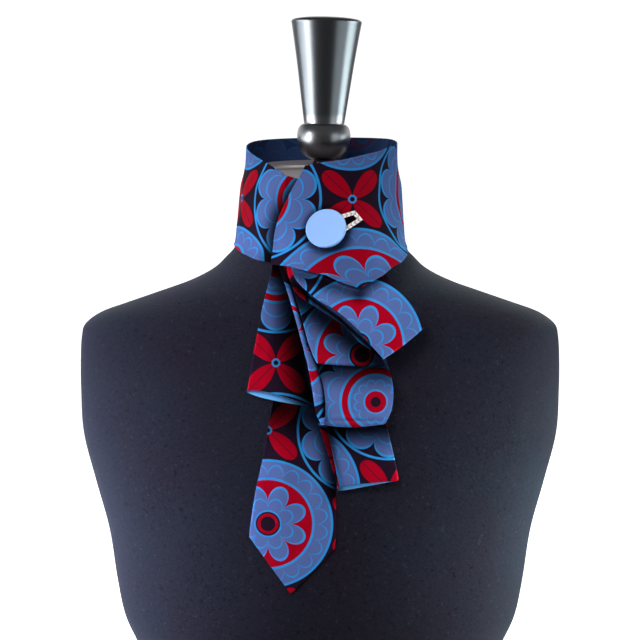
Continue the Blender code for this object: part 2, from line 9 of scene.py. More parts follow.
import bpy
import numpy as np
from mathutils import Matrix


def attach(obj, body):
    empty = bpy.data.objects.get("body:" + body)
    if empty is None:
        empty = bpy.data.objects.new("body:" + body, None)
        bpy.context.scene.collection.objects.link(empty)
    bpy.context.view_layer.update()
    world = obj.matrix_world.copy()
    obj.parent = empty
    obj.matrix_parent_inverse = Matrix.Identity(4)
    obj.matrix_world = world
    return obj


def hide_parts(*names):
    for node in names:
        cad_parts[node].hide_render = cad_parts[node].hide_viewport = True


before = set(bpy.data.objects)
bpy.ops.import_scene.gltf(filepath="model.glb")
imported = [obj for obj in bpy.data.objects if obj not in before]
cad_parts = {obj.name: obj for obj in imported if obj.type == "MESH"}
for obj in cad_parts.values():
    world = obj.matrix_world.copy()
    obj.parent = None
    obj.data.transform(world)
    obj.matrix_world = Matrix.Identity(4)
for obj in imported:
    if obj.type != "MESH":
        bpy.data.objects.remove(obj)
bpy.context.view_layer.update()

MM = 0.001


def table(kind, rows):
    """Rows of values as named tuples of one kind."""
    return [kind(*row) for row in rows]


# A distance past everything
FAR = 1000

# Walls of the cloth, as shown and as in the solids
SILK_WALL = 0.8
COLLAR_WALL = 1.1
POCKET_WALL = 0.5
CAD_COLLAR_WALL = 1.6
CAD_STRIP_WALL = 1.2

# Share of the wall's thickness at distances in from a folded edge
RIM_STEPS = ((0.0, 0.0), (0.05, 0.5), (0.14, 0.8), (0.4, 1.0))

# Dress form
NECK_SLOPE = 0.118
NECK_SLOPE_FROM = 385
NECK_TOP = 420
NECK_LEAN_FROM = 360
NECK_LEAN = 0.018
PLATE_THICKNESS = 3.8
PLATE_ROUNDING = 1.2
SEAM_GAP = 0.3

# Finial
FINIAL_BASE = 425.6
FINIAL_X = 2.6
FINIAL_LEAN = math.radians(1.4)

# Button and loop
BUTTON_X = 5
BUTTON_Z = 374
BUTTON_RADIUS = 16.4
BUTTON_THICKNESS = 3
BUTTON_ROUNDING = 0.9
BUTTON_STANDOFF = 3.6
BUTTON_YAW = math.radians(-14)
SHANK_RADIUS = 2.2
LOOP_WIDTH = 3.3
LOOP_THICKNESS = 1.3
BRAID_TURN = 1.75

# Camera, whose place is in metres
CAMERA_PLACE = (0, -1.8, 0.435)
CAMERA_PITCH = math.radians(90 - 4.4)
CAMERA_LENS = 121.0
CAMERA_SENSOR = 36

# The form from base to neck: one row for each level section
Section = namedtuple("Section", "height half_width front back fullness")
FORM_SECTIONS = table(Section, [
    (0, 128, 80, 72, 2.2),
    (7, 140, 86, 78, 2.2),
    (19, 150, 92, 84, 2.2),
    (31, 157, 96, 88, 2.2),
    (51, 165.5, 99, 92, 2.2),
    (82, 171.5, 101, 95, 2.2),
    (122, 177.5, 102.5, 98, 2.2),
    (163, 188.5, 103.5, 100.5, 2.2),
    (203, 198.5, 103, 102, 2.2),
    (240, 200.5, 100, 101.5, 2.2),
    (268, 200.5, 95.5, 99, 2.2),
    (284, 199.5, 92, 96, 2.2),
    (294, 196.5, 89, 93, 2.2),
    (303.5, 183.5, 86, 90, 2.15),
    (311, 163, 83.5, 86.5, 2.1),
    (320, 137, 80.5, 82, 2.05),
    (330, 109, 77, 77.5, 2.0),
    (340, 89.5, 73.5, 73, 2.0),
    (350, 78.5, 70.2, 69, 2.0),
    (360, 70.3, 67, 65.5, 2.0),
    (375, 68.2, 64, 63, 2.0),
    (400, 66.2, 61.5, 60, 2.0),
    (412, 63.4, 59, 57.5, 2.0),
    (420, 61.2, 57.4, 55.6, 2.0),
])

# The middle of the collar's wall lies this far off the form between two heights.
# Above them nothing carries it, and it has sections of its own.
COLLAR_CLEARANCE = 1.3
COLLAR_LIES_FROM = 311
COLLAR_LIES_TO = 400
COLLAR_TOP_SECTIONS = table(Section, [
    (410, 66.5, 61.6, 60.2, 2.0),
    (420, 64.1, 60.4, 58.8, 2.0),
    (430, 62.8, 59.8, 57.9, 2.0),
    (455, 62.4, 59.6, 57.5, 2.0),
])

# Turned outline of the finial: a stem and a bulb, then a flared cup
Turned = namedtuple("Turned", "radius height")
FINIAL_BULB = table(Turned, [
    (9, 0), (9, 4.4), (14.6, 7.2), (18.9, 12), (21.4, 18), (22.2, 24), (21.9, 28.6), (20.6, 32),
    (18.6, 34), (16.8, 34.7),
])
FINIAL_CUP = table(Turned, [
    (16.8, 35.6), (19.7, 56), (23.8, 85), (26.7, 103.5), (29.0, 117.4), (29.3, 119.2),
    (28.5, 120.4), (26, 121.4), (19, 122.5), (12, 122.9),
])

# The collar band runs once round the neck and on across the front.
# turn is in degrees from the front towards the wearer's right (the viewer's left).
Edge = namedtuple("Edge", "turn height")
BAND_START = -14
BAND_TOP = table(Edge, [
    (-14, 411.5), (10, 414), (24, 417.6), (32, 421.8), (51, 430.6), (80, 439.4), (120, 446.8),
    (180, 449.6), (240, 448.5), (270, 445), (300, 441.2), (313, 438), (329, 434.7), (345, 430.8),
    (360, 428.6), (372, 426), (392, 422),
])
BAND_BOTTOM = table(Edge, [
    (-14, 353), (10, 351), (25, 348.2), (32, 348.5), (40, 349.8), (50, 352.8), (70, 357.5),
    (90, 361), (180, 363), (262, 361), (278, 358.5), (290, 355.5), (305, 351.5), (322, 345),
    (334, 337), (345.5, 329), (351, 333), (357.5, 339.2), (367, 342.7), (375.5, 345.7),
    (387.5, 347.2), (392, 347.4),
])
BAND_TIP_TURN = 345.5

# Where the band ends at the front, by the share of its height
BandEnd = namedtuple("BandEnd", "share turn")
BAND_ENDS = table(BandEnd, [
    (0, 386.5), (0.18, 389.5), (0.35, 389.5), (0.53, 387), (0.72, 381.5), (0.83, 377.8), (1, 371.7),
])

# How far the band stands off the first layer: over that layer, then over the bow's folds
Standoff = namedtuple("Standoff", "turn layer bulge")
BAND_STANDOFFS = table(Standoff, [
    (-14, 0, 0),
    (272, 0, 0),
    (286, 0.4, 0.8),
    (300, 1.2, 4),
    (315, 2.2, 8.5),
    (332, 2.8, 11),
    (350, 2.8, 11),
    (366, 2.8, 10.2),
    (377, 2.8, 7),
    (387, 2.8, 3.4),
    (392, 2.8, 3),
])
FLARE_STEP = 2
BULGE_FULL_AT = 349
BULGE_GONE_AT = 402
FRONT_TURNS = (300.0, 392.0)
HALVINGS = 30

# The first layer steps in where it passes under the overlap, beside its free edge
STEP_TURN = 24.2
STEP_RAISED = 0.9
STEP_SUNK = 0.5
STEP_FADE = 24

# Folded strips, top row first. x and z are the strip's two edges as seen from the front,
# and lift is how far the middle of its wall stands off the form.
StripRow = namedtuple("StripRow", "left_x left_z left_lift right_x right_z right_lift")
LONG_BLADE = table(StripRow, [
    (-28, 343, 1.1, -2, 343, 1.1),
    (-28, 319, 1.1, 2, 319, 1.1),
    (-31, 280, 1.1, 4, 280, 1.1),
    (-37.5, 239, 1.1, 5.5, 239, 1.1),
    (-41.5, 217, 1.1, 8.5, 217, 1.1),
    (-46, 191.5, 1.1, 11.5, 191.5, 1.1),
    (-51, 169, 1.1, 12.5, 169, 1.1),
    (-55.5, 141, 1.1, 12.7, 139, 1.1),
    (-56.5, 130.5, 1.1, 12, 121.5, 1.1),
])
BLADE_TIP = StripRow(-23.8, 85.2, 1.1, -22.8, 85.0, 1.1)
TAIL_PLEAT = table(StripRow, [
    (-2.5, 231, 2.55, 12, 231, 2.55),
    (-1.5, 222.5, 2.55, 13, 222.5, 2.55),
    (5.5, 200.5, 2.55, 20, 200.5, 2.55),
    (11.5, 180, 2.55, 26, 180, 2.55),
    (14.2, 169.5, 2.55, 28, 169.5, 2.55),
])
TAIL = table(StripRow, [
    (9, 300, 3.6, 34, 300, 3.6),
    (8, 270, 4.2, 42, 270, 4.2),
    (6.5, 238, 4.8, 50, 237, 4.8),
    (5.7, 219.5, 4.8, 54, 216.5, 4.8),
    (9.5, 200.5, 4.9, 58, 199.5, 4.9),
    (13, 184, 5, 61, 186, 5),
    (14.3, 169, 5.1, 62.5, 176.5, 5.1),
])
SIDE_PANEL = table(StripRow, [
    (-38.5, 350, 4.0, -14, 350, 3.6),
    (-39.5, 340, 3.8, -12, 341, 3.6),
    (-46.5, 311, 3.6, -4, 311.5, 3.6),
    (-52.5, 280, 3.9, 1.5, 280, 3.9),
    (-56.5, 256, 4.2, 4.5, 254, 4.2),
    (-58, 247, 4.3, 1.5, 234, 4.3),
])
LOWER_FRONT = table(StripRow, [
    (-12, 300, 8.6, 38, 300, 8.6),
    (-8, 283.5, 9.4, 48, 284, 9.4),
    (-2.5, 268, 10.2, 54.5, 266, 10.2),
    (2.5, 253, 11, 57.3, 255, 11),
    (4.3, 240, 11.6, 57.8, 243, 11.6),
    (4.2, 230, 11.8, 56.3, 233, 11.8),
    (3, 224.5, 11.8, 52.5, 224.5, 11.8),
])
LOWER_BACK = table(StripRow, [
    (0, 224, 8.2, 50, 224, 8.2),
    (-3.5, 232, 8.2, 49, 232, 8.2),
    (-6, 248, 8, 47, 248, 8),
    (-10.7, 272, 7.2, 41, 272, 7.2),
    (-18.8, 301.5, 6.2, 26, 301, 6.2),
    (-26, 325, 5.6, 6, 325, 5.6),
    (-33, 345, 5.8, -10, 345, 5.5),
    (-34.5, 350.5, 5.9, -12, 350.5, 5.5),
])
UPPER_FRONT = table(StripRow, [
    (-27, 350, 7.2, 4, 350, 7.2),
    (-24, 337, 7.6, 13, 338, 7.8),
    (-20.6, 325, 9.2, 24, 325, 9.4),
    (-14.6, 305.5, 12, 38, 306, 12.4),
    (-8.7, 285, 14.3, 47, 284.5, 14.3),
    (-3, 272, 15.2, 51, 269.5, 15.2),
])
UPPER_BACK = table(StripRow, [
    (-2, 272, 12.4, 50, 269.5, 12.4),
    (-4, 281, 12, 47, 279, 12),
    (-10, 298, 10.4, 40, 297, 10.4),
])
WING_FRONT = table(StripRow, [
    (-24, 352, 10.3, 32, 352, 10.6),
    (-21.5, 340, 11.2, 51.5, 340, 12.6),
    (-15.5, 331, 12.4, 57.5, 332.5, 13.6),
    (-0.5, 319, 14, 64, 325.5, 14.2),
    (13, 311.5, 15.2, 69, 320, 14.6),
    (30.5, 296.5, 17.2, 76, 311.5, 15),
    (40.5, 284.5, 18.8, 80.5, 303.5, 15.4),
    (49, 275.5, 19.6, 82.5, 299, 15.6),
])
WING_BACK = table(StripRow, [
    (48, 274.5, 16.9, 80.5, 299, 12.9),
    (40, 281, 16.6, 77.5, 304, 12.9),
    (30, 288, 15.8, 73, 310, 12.6),
    (19.5, 299, 14.8, 67, 317, 12.3),
    (-1, 312.5, 12.9, 60, 324.5, 12),
    (-18, 324, 11.2, 52, 332.5, 11.4),
    (-25, 337, 9.6, 44, 341, 10.2),
    (-27, 347, 9.1, 28, 349, 9.1),
])

# Opening of a flat tube: how far its front hem rises and its back hem drops, the share of
# its width where they do so most, and how thick it is there
Hem = namedtuple("Hem", "rise drop peak thickness")
SIDE_PANEL_HEM = Hem(3.6, 2.2, 0.3, 4.6)
TAIL_HEM = Hem(3.4, 0.6, 0.16, 3.6)
TUBE_EDGE = 2.3
POCKET_INTERVALS = 2
LENS_START_POWER = 6
LOFT_POWER = 0.7

# How far the middle of each loop's fold hangs below its corners
LOWER_FOLD_SAG = 2.4
UPPER_FOLD_SAG = 0.6
WING_FOLD_SAG = 1.0

# Middle line of the loop's tape, seen from the front and measured from the button's centre
LoopPoint = namedtuple("LoopPoint", "x z")
LOOP_LINE = table(LoopPoint, [
    (-4.7, 0), (-3.2, 3.6), (2, 6.2), (12.2, 11.2), (22.6, 14.2), (27.2, 8.8), (15, 1.2), (3, -5.0),
    (-3.2, -3.7),
])

# Creases seen from the front: a soft ridge, or a trough where its height is negative,
# from one point to another. spread is its half width.
Crease = namedtuple("Crease", "x1 z1 x2 z2 spread height")
BLADE_CREASES = table(Crease, [
    (-18, 240, -34, 150, 9, 0.9),
    (2, 225, 2, 135, 5, 0.5),
    (-30, 215, -49, 160, 4, 0.35),
    (-8, 190, -20, 100, 6, -0.25),
])
PLEAT_CREASES = table(Crease, [(2.4, 222, 17.6, 170, 1.8, 0.35)])
TAIL_CREASES = table(Crease, [
    (30, 215, 37, 184, 6, 0.5),
    (50, 212, 56, 182, 3.5, 0.4),
    (16, 215, 22, 178, 3, -0.3),
])
PANEL_CREASES = table(Crease, [
    (-30, 330, -44, 262, 5, 0.8),
    (-20, 330, -22, 250, 5, -0.35),
    (-38, 330, -52, 272, 2.5, 0.3),
])
LOWER_FRONT_CREASES = table(Crease, [
    (4, 228.2, 53, 228.2, 2.2, 0.8),
    (8, 225.4, 48, 225.2, 1.3, -0.5),
    (14, 262, 17, 236, 5, 0.5),
    (36, 262, 42, 238, 7, 0.6),
    (27, 258, 29, 240, 4, -0.3),
])
LOWER_BACK_CREASES = table(Crease, [
    (-22, 325, 2, 226, 2.6, 0.9),
    (-16, 325, 7, 226, 1.6, -0.4),
])
UPPER_FRONT_CREASES = table(Crease, [
    (-14, 335, 6, 278, 6, 0.9),
    (-6, 338, 24, 290, 4, -0.5),
    (8, 330, 38, 284, 5, 0.5),
    (-18, 318, -4, 278, 2, 0.4),
])
WING_FRONT_CREASES = table(Crease, [
    (-8, 334, 46, 287, 3.2, 0.9),
    (6, 334, 66, 300, 7, 0.7),
    (20, 342, 74, 314, 4, 0.5),
    (0, 335, 56, 296, 3, -0.4),
])
WING_BACK_CREASES = table(Crease, [
    (-20, 321, 43, 277, 1.6, 0.6),
    (-16, 323, 46, 280, 1.0, -0.8),
])

# Painted shade: the cloth's colour is darkened in the depths between its layers, where shade
# falls. Seen from the front, the painted shade is strongest along a line and fades within its
# spread on both sides.
Tint = namedtuple("Tint", "x1 z1 x2 z2 spread depth")
BLADE_PAINTED_SHADES = table(Tint, [
    (-62, 243, 2, 229, 21, 0.80),
    (4, 226, 14.3, 168, 9, 0.85),
])
PLEAT_PAINTED_SHADES = table(Tint, [(2, 226, 22, 168, 9, 0.65)])
TAIL_PAINTED_SHADES = table(Tint, [
    (0, 219, 60, 219, 13, 0.80),
    (5.7, 221, 14, 168, 4, 0.60),
])
PANEL_PAINTED_SHADES = table(Tint, [
    (-29, 345, -3, 228, 17, 0.90),
    (-48, 343, -28, 341, 9, 0.65),
])
LOWER_PAINTED_SHADES = table(Tint, [
    (-6, 268, 56, 265, 12, 0.72),
    (-2.5, 268, 4.3, 226, 3, 0.45),
])
STRIP_PAINTED_SHADES = table(Tint, [
    (-24, 334, -9.3, 285, 1.9, 0.95),
    (-9.3, 285, -3.4, 272, 1.9, 0.95),
    (-3.4, 272, 3.2, 250, 1.7, 0.95),
    (3.2, 250, 3.4, 229, 1.7, 0.95),
    (-34, 350, -24, 335, 8, 0.60),
])
UPPER_PAINTED_SHADES = table(Tint, [
    (-18, 323, 48, 271, 13.5, 0.85),
    (-26, 345, -12, 332, 8, 0.65),
])
WING_PAINTED_SHADES = table(Tint, [
    (-32, 344, 31, 324, 6, 0.50),
    (31, 324, 57, 340, 5, 0.40),
])
PLEAT_BEHIND_PAINTED_SHADES = table(Tint, [
    (-20, 330, 50, 276, 7, 0.62),
    (-17, 327.5, 16, 304.5, 1.4, 0.85),
    (16, 304.5, 48.5, 275, 1.4, 0.85),
])
# Painted shade on the collar: inside the button's loop, a painted shadow round the button, the whole collar
# a little darker to even its light with the bow's, and darker beside the overlap's free edge
BAND_PAINTED_SHADES = table(Tint, [(21, 377, 27, 381, 4, 0.85)])
BAND_PAINTED_SHADE_KEPT = 0.85
BUTTON_PAINTED_SHADOW = 0.5
BUTTON_PAINTED_SHADOW_SPREAD = 3.2
OVERLAP_PAINTED_SHADE = 0.85
OVERLAP_PAINTED_SHADE_SPREAD = 9

# Creases of the collar, by turn and height
BAND_CREASES = table(Crease, [
    (60, 425, 74, 366, 5, 0.7),
    (38, 418, 42, 356, 6, 0.6),
    (100, 430, 170, 412, 5, 0.5),
    (140, 385, 205, 378, 6, 0.6),
    (215, 436, 262, 396, 5, 0.6),
    (278, 425, 300, 372, 6, 0.7),
    (318, 420, 334, 380, 7, 0.5),
    (352, 366, 380, 352, 5, 0.5),
    (372, 412, 384, 372, 4, 0.35),
])
BAND_MM_PER_DEGREE = 1.13

# Printed design: half-drop roundels in two kinds, with leaf crosses between them
PRINT_REPEAT = 150
ROUNDEL_RADIUS = 52
PRINT_LINE = 2.0
FINE_LINE = 1.3
PRINT_BLUR = 0.16

# Print colours, linear
PERIWINKLE = (0.085, 0.130, 0.345)
SKY = (0.028, 0.256, 0.650)
RED = (0.345, 0.001, 0.013)
NAVY = (0.014, 0.006, 0.016)
LINING_BLUE = (0.15, 0.44, 0.88)

# Reverse of the cloth, and how much of the print shows through to it
REVERSE_BLUE = (0.018, 0.036, 0.105)
REVERSE_SHARE = 0.12

# Layers of the strips, with their painted shade and where each is cut from the print
Layer = namedtuple("Layer", "rows creases tints place")
BLADE_LAYER = Layer(LONG_BLADE, BLADE_CREASES, BLADE_PAINTED_SHADES, (41.5, 8.5))
PLEAT_LAYER = Layer(TAIL_PLEAT, PLEAT_CREASES, PLEAT_PAINTED_SHADES, (60, -45))
TAIL_LAYER = Layer(TAIL, TAIL_CREASES, TAIL_PAINTED_SHADES, (20, -20))
PANEL_LAYER = Layer(SIDE_PANEL, PANEL_CREASES, PANEL_PAINTED_SHADES, (110, 30))
LOWER_LAYERS = table(Layer, [
    (LOWER_FRONT, LOWER_FRONT_CREASES, LOWER_PAINTED_SHADES, (31, -15)),
    (LOWER_BACK, LOWER_BACK_CREASES, STRIP_PAINTED_SHADES, (31, -14)),
])
UPPER_LAYERS = table(Layer, [
    (UPPER_FRONT, UPPER_FRONT_CREASES, UPPER_PAINTED_SHADES, (-33, 23)),
    (UPPER_BACK, (), (), (-33, 23)),
])
WING_LAYERS = table(Layer, [
    (WING_FRONT, WING_FRONT_CREASES, WING_PAINTED_SHADES, (-30, 15)),
    (WING_BACK, WING_BACK_CREASES, PLEAT_BEHIND_PAINTED_SHADES, (-41, -65)),
])
BAND_PLACE = (383, -324)

# Fineness of the meshes
CURVE_STEPS = 8
STRIP_STEPS = 14
STRIP_COLUMNS = 56
FOLD_STEPS = 18
BAND_COLUMN_DEGREES = 1.0
BAND_ROWS = 54
FORM_SEGMENTS = 180
TURNED_SEGMENTS = 96
FINIAL_STEPS = 6
TIP_STEPS = 24
ROUND_STEPS = 6
DISH_STEPS = 8
TAPE_STEP = 0.35
TAPE_SIDES = 20

# Limits and softness of the shapes
WIDEST_SHARE = 0.999
CREASE_END = 0.02
CREASE_TAPER = 0.6
LEAST_DEPTH = 0.05
LEAST_MITRE = 0.5
LEAST_LENGTH = 1e-9
RIM_LIMIT = 0.9
SEAT_SHARE = 0.8
STEP_BLUR = 0.3
SHARP_ANGLE = math.radians(40)

# Height of the band and degrees of its front end, which place the close lines at its edges,
# the even columns of that end and the share of it that they fill
BAND_HEIGHT = 82
BAND_END_DEGREES = 44
BAND_END_COLUMNS = 45
BAND_END_EVEN = 0.99

# Gaps of the shank and the loop to the cloth
SHANK_GAP = SEAM_GAP * 1.5
LOOP_GAP = SEAM_GAP * 1.4

# Dish of the button and braid of the tape
DISH_RIM = 2.6
DISH_RADIUS = BUTTON_RADIUS - DISH_RIM
DISH_DEPTH = 0.22
DISH_RINGS = (0.6, 0.3, 0.05)
TAPE_ROUNDNESS = 0.55
BRAID_DEPTH = 0.16
BRAID_SLANT = 2.6
BRAID_FROM = 0.1
THREAD_SLANT = 1.3
THREAD_SHARPNESS = 4.0
STRANDS_ALONG = 11.0
STRANDS_ACROSS = 9.0
GROOVE_WIDTH = 0.14
GROOVE_SHADE_SHARE = 0.6

# Motifs of the print, in coats of colour with the lowest first. A coat fills its outline or,
# where line is over 0, draws a line that wide on it. The outline's radius grows by reach at
# the middle of each petal.
Coat = namedtuple("Coat", "colour radius line petals roundness reach", defaults=(0, 0, 1, 0))
ROSETTE = table(Coat, [
    (SKY, 39.6, FINE_LINE, 20, 0.6, 8),
    (SKY, ROUNDEL_RADIUS - 0.9, PRINT_LINE),
    (RED, 36.4),
    (SKY, 36.4, PRINT_LINE),
    (PERIWINKLE, 14, 0, 8, 0.5, 17),
    (SKY, 14, PRINT_LINE, 8, 0.5, 17),
    (SKY, 12, FINE_LINE, 8, 0.5, 9),
    (NAVY, 10.4),
    (RED, 7.2, 2.4),
    (SKY, 10.4, FINE_LINE),
])
DAHLIA = table(Coat, [
    (PERIWINKLE, 36, 0, 10, 0.45, 13),
    (SKY, 36, PRINT_LINE, 10, 0.45, 13),
    (SKY, 30, FINE_LINE, 10, 0.45, 9),
    (SKY, ROUNDEL_RADIUS - 0.9, PRINT_LINE),
    (RED, 28),
    (SKY, 28, PRINT_LINE),
    (PERIWINKLE, 21),
    (SKY, 21, PRINT_LINE),
    (SKY, 13.2, FINE_LINE, 12, 0.6, 4),
    (RED, 9.2),
    (SKY, 9.2, FINE_LINE),
    (NAVY, 4),
])
LEAVES = table(Coat, [(RED, 0, 0, 4, 1.5, 31)])
LEAF_HEART = table(Coat, [(SKY, 3.4), (NAVY, 1.9)])
LEAF_VEIN = 1.0
GRID_BLUR = 0.01

# Threads and stitches
THREAD_PITCH = 0.42
STITCH_FROM_HEM = 2.2
STITCH_WIDTH = 0.4
STITCH_PITCH = 3.2
STITCH_DASH = 0.4
STITCH_BLUR = 0.2
STITCH_SHADE = 0.35
STITCH_DEPTH = 6.0
WARP_SHARE = 0.65
WALE_TURN = 5.2
COURSE_TURN = 6.4
COURSE_DEPTH = 0.3
NAP_DEPTH = 1.2

# Colours of the other materials, linear
JERSEY_WARM = (0.0130, 0.0086, 0.0168)
JERSEY_COOL = (0.0106, 0.0130, 0.0228)
JERSEY_NAP = (0.0046, 0.0038, 0.0068)
JERSEY_PIT = (0.004, 0.003, 0.0055)
JERSEY_LINT = (0.03, 0.03, 0.047)
NAP_SHARE = 0.5
PIT_SHARE = 0.8
LINT_SHARE = 0.5
PLATE_GREY = (0.28, 0.25, 0.255)
CUP_GREYS = ((0.185, 0.198, 0.21), (0.22, 0.235, 0.25))
BUTTON_BLUES = ((0.24, 0.41, 0.78), (0.265, 0.445, 0.83))
TAPE_WHITE = (0.88, 0.84, 0.82)
TAPE_ROSE = (0.42, 0.22, 0.22)
TAPE_GROOVE_SHADE = (0.30, 0.20, 0.26)

# Painted reflections across the plate, drawn as streaks, the lowest first: their depth behind
# the neck's middle, half width and blur, how much they cover, and where they end at the
# viewer's right. Noise bends them forward from that depth.
REFLECTION_BEND = 26
REFLECTION_END_BLUR = 8
PaintedReflection = namedtuple("PaintedReflection", "colour depth reach blur strength right_end", defaults=(FAR,))
PLATE_PAINTED_REFLECTIONS = table(PaintedReflection, [
    ((1.0, 0.96, 0.97), 20, 7, 6, 1.0),
    ((0.07, 0.08, 0.07), 2, 4, 6, 0.8),
    ((0.03, 0.026, 0.03), 22, 8, 9, 0.9, -29),
])

# Painted light and shade of the finial, up to heights over its foot, the bulb's first: a
# lighter bulb that brightens its reflections, then painted shade darkening it towards the
# foot, each with the blur of its upper edge
BULB_PAINTED_LIGHT_AND_SHADE = (((0.35, 0.355, 0.37), 41, 2), ((0.075, 0.062, 0.082), 14, 9))

# Places of the floor and the lights are in metres. To the camera the floor glows, and more so
# away from its middle: along a line that is 0 at GLOW_FROM and full at GLOW_TO.
FLOOR_CORNERS = [(-30, -6, 0), (30, -6, 0), (30, 60, 0), (-30, 60, 0)]
FLOOR_GREYS = ((0.90, 0.90, 0.90), (0.93, 0.93, 0.93))
FLOOR_BOUNCE = (0.06, 0.06, 0.065)
GLOW_FROM = -0.6
GLOW_TO = 0.3

AreaLight = namedtuple("AreaLight", "name place target width height spread watts colour reflected")
LIGHTS = table(AreaLight, [
    ("key", (-1.0, -1.9, 2.1), (0, 0, 0.25), 1.1, 0.9, 180, 66, (1.0, 0.98, 0.96), False),
    ("front_fill", (0.7, -2.2, 0.8), (0, 0, 0.25), 1.2, 1.0, 180, 5, (1.0, 1.0, 1.0), False),
    ("strip_left", (-1.2, -0.5, 0.42), (0, 0, 0.42), 0.4, 0.5, 180, 7.2, (0.97, 0.99, 1.0), True),
    ("panel_right", (1.1, -0.85, 0.3), (0, 0, 0.42), 0.8, 0.6, 180, 1.8, (0.87, 0.97, 1.0), True),
    ("glint_left", (-1.2, 0.1, 0.2), (0, 0, 0.15), 0.8, 0.36, 180, 5.5, (0.9, 0.95, 1.0), True),
    ("glint_right", (1.2, 0.15, 0.2), (0, 0, 0.15), 0.8, 0.36, 180, 5.7, (0.87, 0.98, 0.99), True),
    ("low_left", (-1.2, 0.08, 0.12), (0, 0, 0.12), 0.5, 0.24, 26, 2.7, (0.68, 0.88, 1.0), False),
    ("low_right", (1.2, 0.08, 0.12), (0, 0, 0.12), 0.5, 0.24, 26, 2.9, (0.78, 1.0, 0.86), False),
])
WORLD_LIGHT = 0.1
BACKDROP_LIGHT = 0.9
BACKDROP_SPREAD = 1.6
BACKDROP_FALL = 3
SEEN_WHITE = 1.05


# Curves

def blend(low, high, share):
    """Return the value at a share of the way from low to high."""
    return low + (high - low) * share


def smoothstep(low, high, value):
    """Rise from 0 at low to 1 at high, with level ends."""
    share = np.clip((value - low) / (high - low), 0, 1)
    return share * share * (3 - 2 * share)


def spline(before, start, end, after, share):
    """Catmull-Rom value between start and end."""
    slope_in = (end - before) / 2
    slope_out = (after - start) / 2
    square = share * share
    cube = square * share
    return (
        start * (2 * cube - 3 * square + 1)
        + slope_in * (cube - 2 * square + share)
        + end * (3 * square - 2 * cube)
        + slope_out * (cube - square)
    )


def between(start, end, share):
    """The row at a share of the way between two rows of a table."""
    return type(start)(*(blend(low, high, share) for low, high in zip(start, end)))


def smooth_rows(rows, steps):
    """Put a smooth curve through every column of a table."""
    kind = type(rows[0])
    smoothed = []
    for index in range(len(rows) - 1):
        before = rows[max(index - 1, 0)]
        after = rows[min(index + 2, len(rows) - 1)]
        for step in range(steps):
            columns = zip(before, rows[index], rows[index + 1], after)
            smoothed.append(kind(*(spline(*column, step / steps) for column in columns)))
    return smoothed + [rows[-1]]


def column(rows, name):
    return np.array([getattr(row, name) for row in rows], float)


def read(rows, name, value):
    """Read one column of a table between its rows, along its rising first column."""
    return np.interp(value, [row[0] for row in rows], column(rows, name))


FORM_CURVE = smooth_rows(FORM_SECTIONS, CURVE_STEPS)
CARRIED_SECTIONS = [
    Section(
        row.height,
        *(half + COLLAR_CLEARANCE for half in (row.half_width, row.front, row.back)),
        row.fullness,
    )
    for row in FORM_SECTIONS
    if COLLAR_LIES_FROM <= row.height <= COLLAR_LIES_TO
]
COLLAR_CURVE = smooth_rows(CARRIED_SECTIONS + COLLAR_TOP_SECTIONS, CURVE_STEPS)


def neck_lean(z):
    """Sideways lean of the neck towards the viewer's right."""
    return np.maximum(0.0, z - NECK_LEAN_FROM) * NECK_LEAN


def section_at(curve, z):
    """Half width, front, back and fullness of a level section."""
    return [read(curve, name, z) for name in Section._fields[1:]]


def section_point(curve, angle, z):
    """x and y of a level section at an angle from the front towards the viewer's left."""
    half_width, front, back, fullness = section_at(curve, z)
    sine = np.sin(angle)
    cosine = np.cos(angle)
    depth = np.where(cosine > 0, front, back)
    x = -half_width * np.sign(sine) * np.abs(sine) ** (2 / fullness)
    y = -depth * np.sign(cosine) * np.abs(cosine) ** (2 / fullness)
    return x, y


def off_form(x, z, lift):
    """Points at x and z that stand a lift off the form's front."""
    half_width, front, _, fullness = section_at(FORM_CURVE, z)
    share = np.minimum(WIDEST_SHARE, np.abs(x) / half_width)
    return np.stack([x, -front * (1 - share ** fullness) ** (1 / fullness) - lift, z], axis=2)


def beside(line, x, z):
    """Share along a line, and nearness to it: 1 on the line, and little past its spread."""
    run_x = line.x2 - line.x1
    run_z = line.z2 - line.z1
    share = ((x - line.x1) * run_x + (z - line.z1) * run_z) / (run_x ** 2 + run_z ** 2)
    share = np.clip(share, 0, 1)
    away = np.hypot(x - line.x1 - run_x * share, z - line.z1 - run_z * share)
    return share, np.exp(-((away / line.spread) ** 2))


def creased(creases, x, z):
    """Sum of the creases' heights at points seen from the front."""
    total = np.zeros_like(x)
    for crease in creases:
        share, nearness = beside(crease, x, z)
        taper = np.sin(math.pi * np.clip(share, CREASE_END, 1 - CREASE_END)) ** CREASE_TAPER
        total += crease.height * nearness * taper
    return total


def unshaded_share(tints, grid):
    """Share of its colour that the cloth keeps under the painted shade at a grid's points."""
    kept = np.ones(grid.shape[:2])
    for shade_line in tints:
        _, nearness = beside(shade_line, grid[:, :, 0], grid[:, :, 2])
        kept *= 1 - shade_line.depth * nearness
    return kept


def with_painted_shade(tints, grid, from_hem=FAR):
    """The square of the colour's share kept under the painted shade, and how far off a hem each point is.
    """
    kept = unshaded_share(tints, grid)
    return np.stack([kept ** 2, np.broadcast_to(from_hem, kept.shape) * MM], axis=2)


def edged_shares(count, width):
    """Shares across a width, evenly spaced but for the close lines of two folded edges."""
    rims = [distance / width for distance, _ in RIM_STEPS]
    inner = list(np.linspace(rims[-1], 1 - rims[-1], count))
    return np.array(rims[:-1] + inner + [1 - rim for rim in reversed(rims[:-1])])


def rim_shares(count):
    """Share of the wall's thickness at each line of edged_shares."""
    thickness = np.ones(count)
    for index, (_, share) in enumerate(RIM_STEPS):
        thickness[[index, -1 - index]] = share
    return thickness


# Shader building

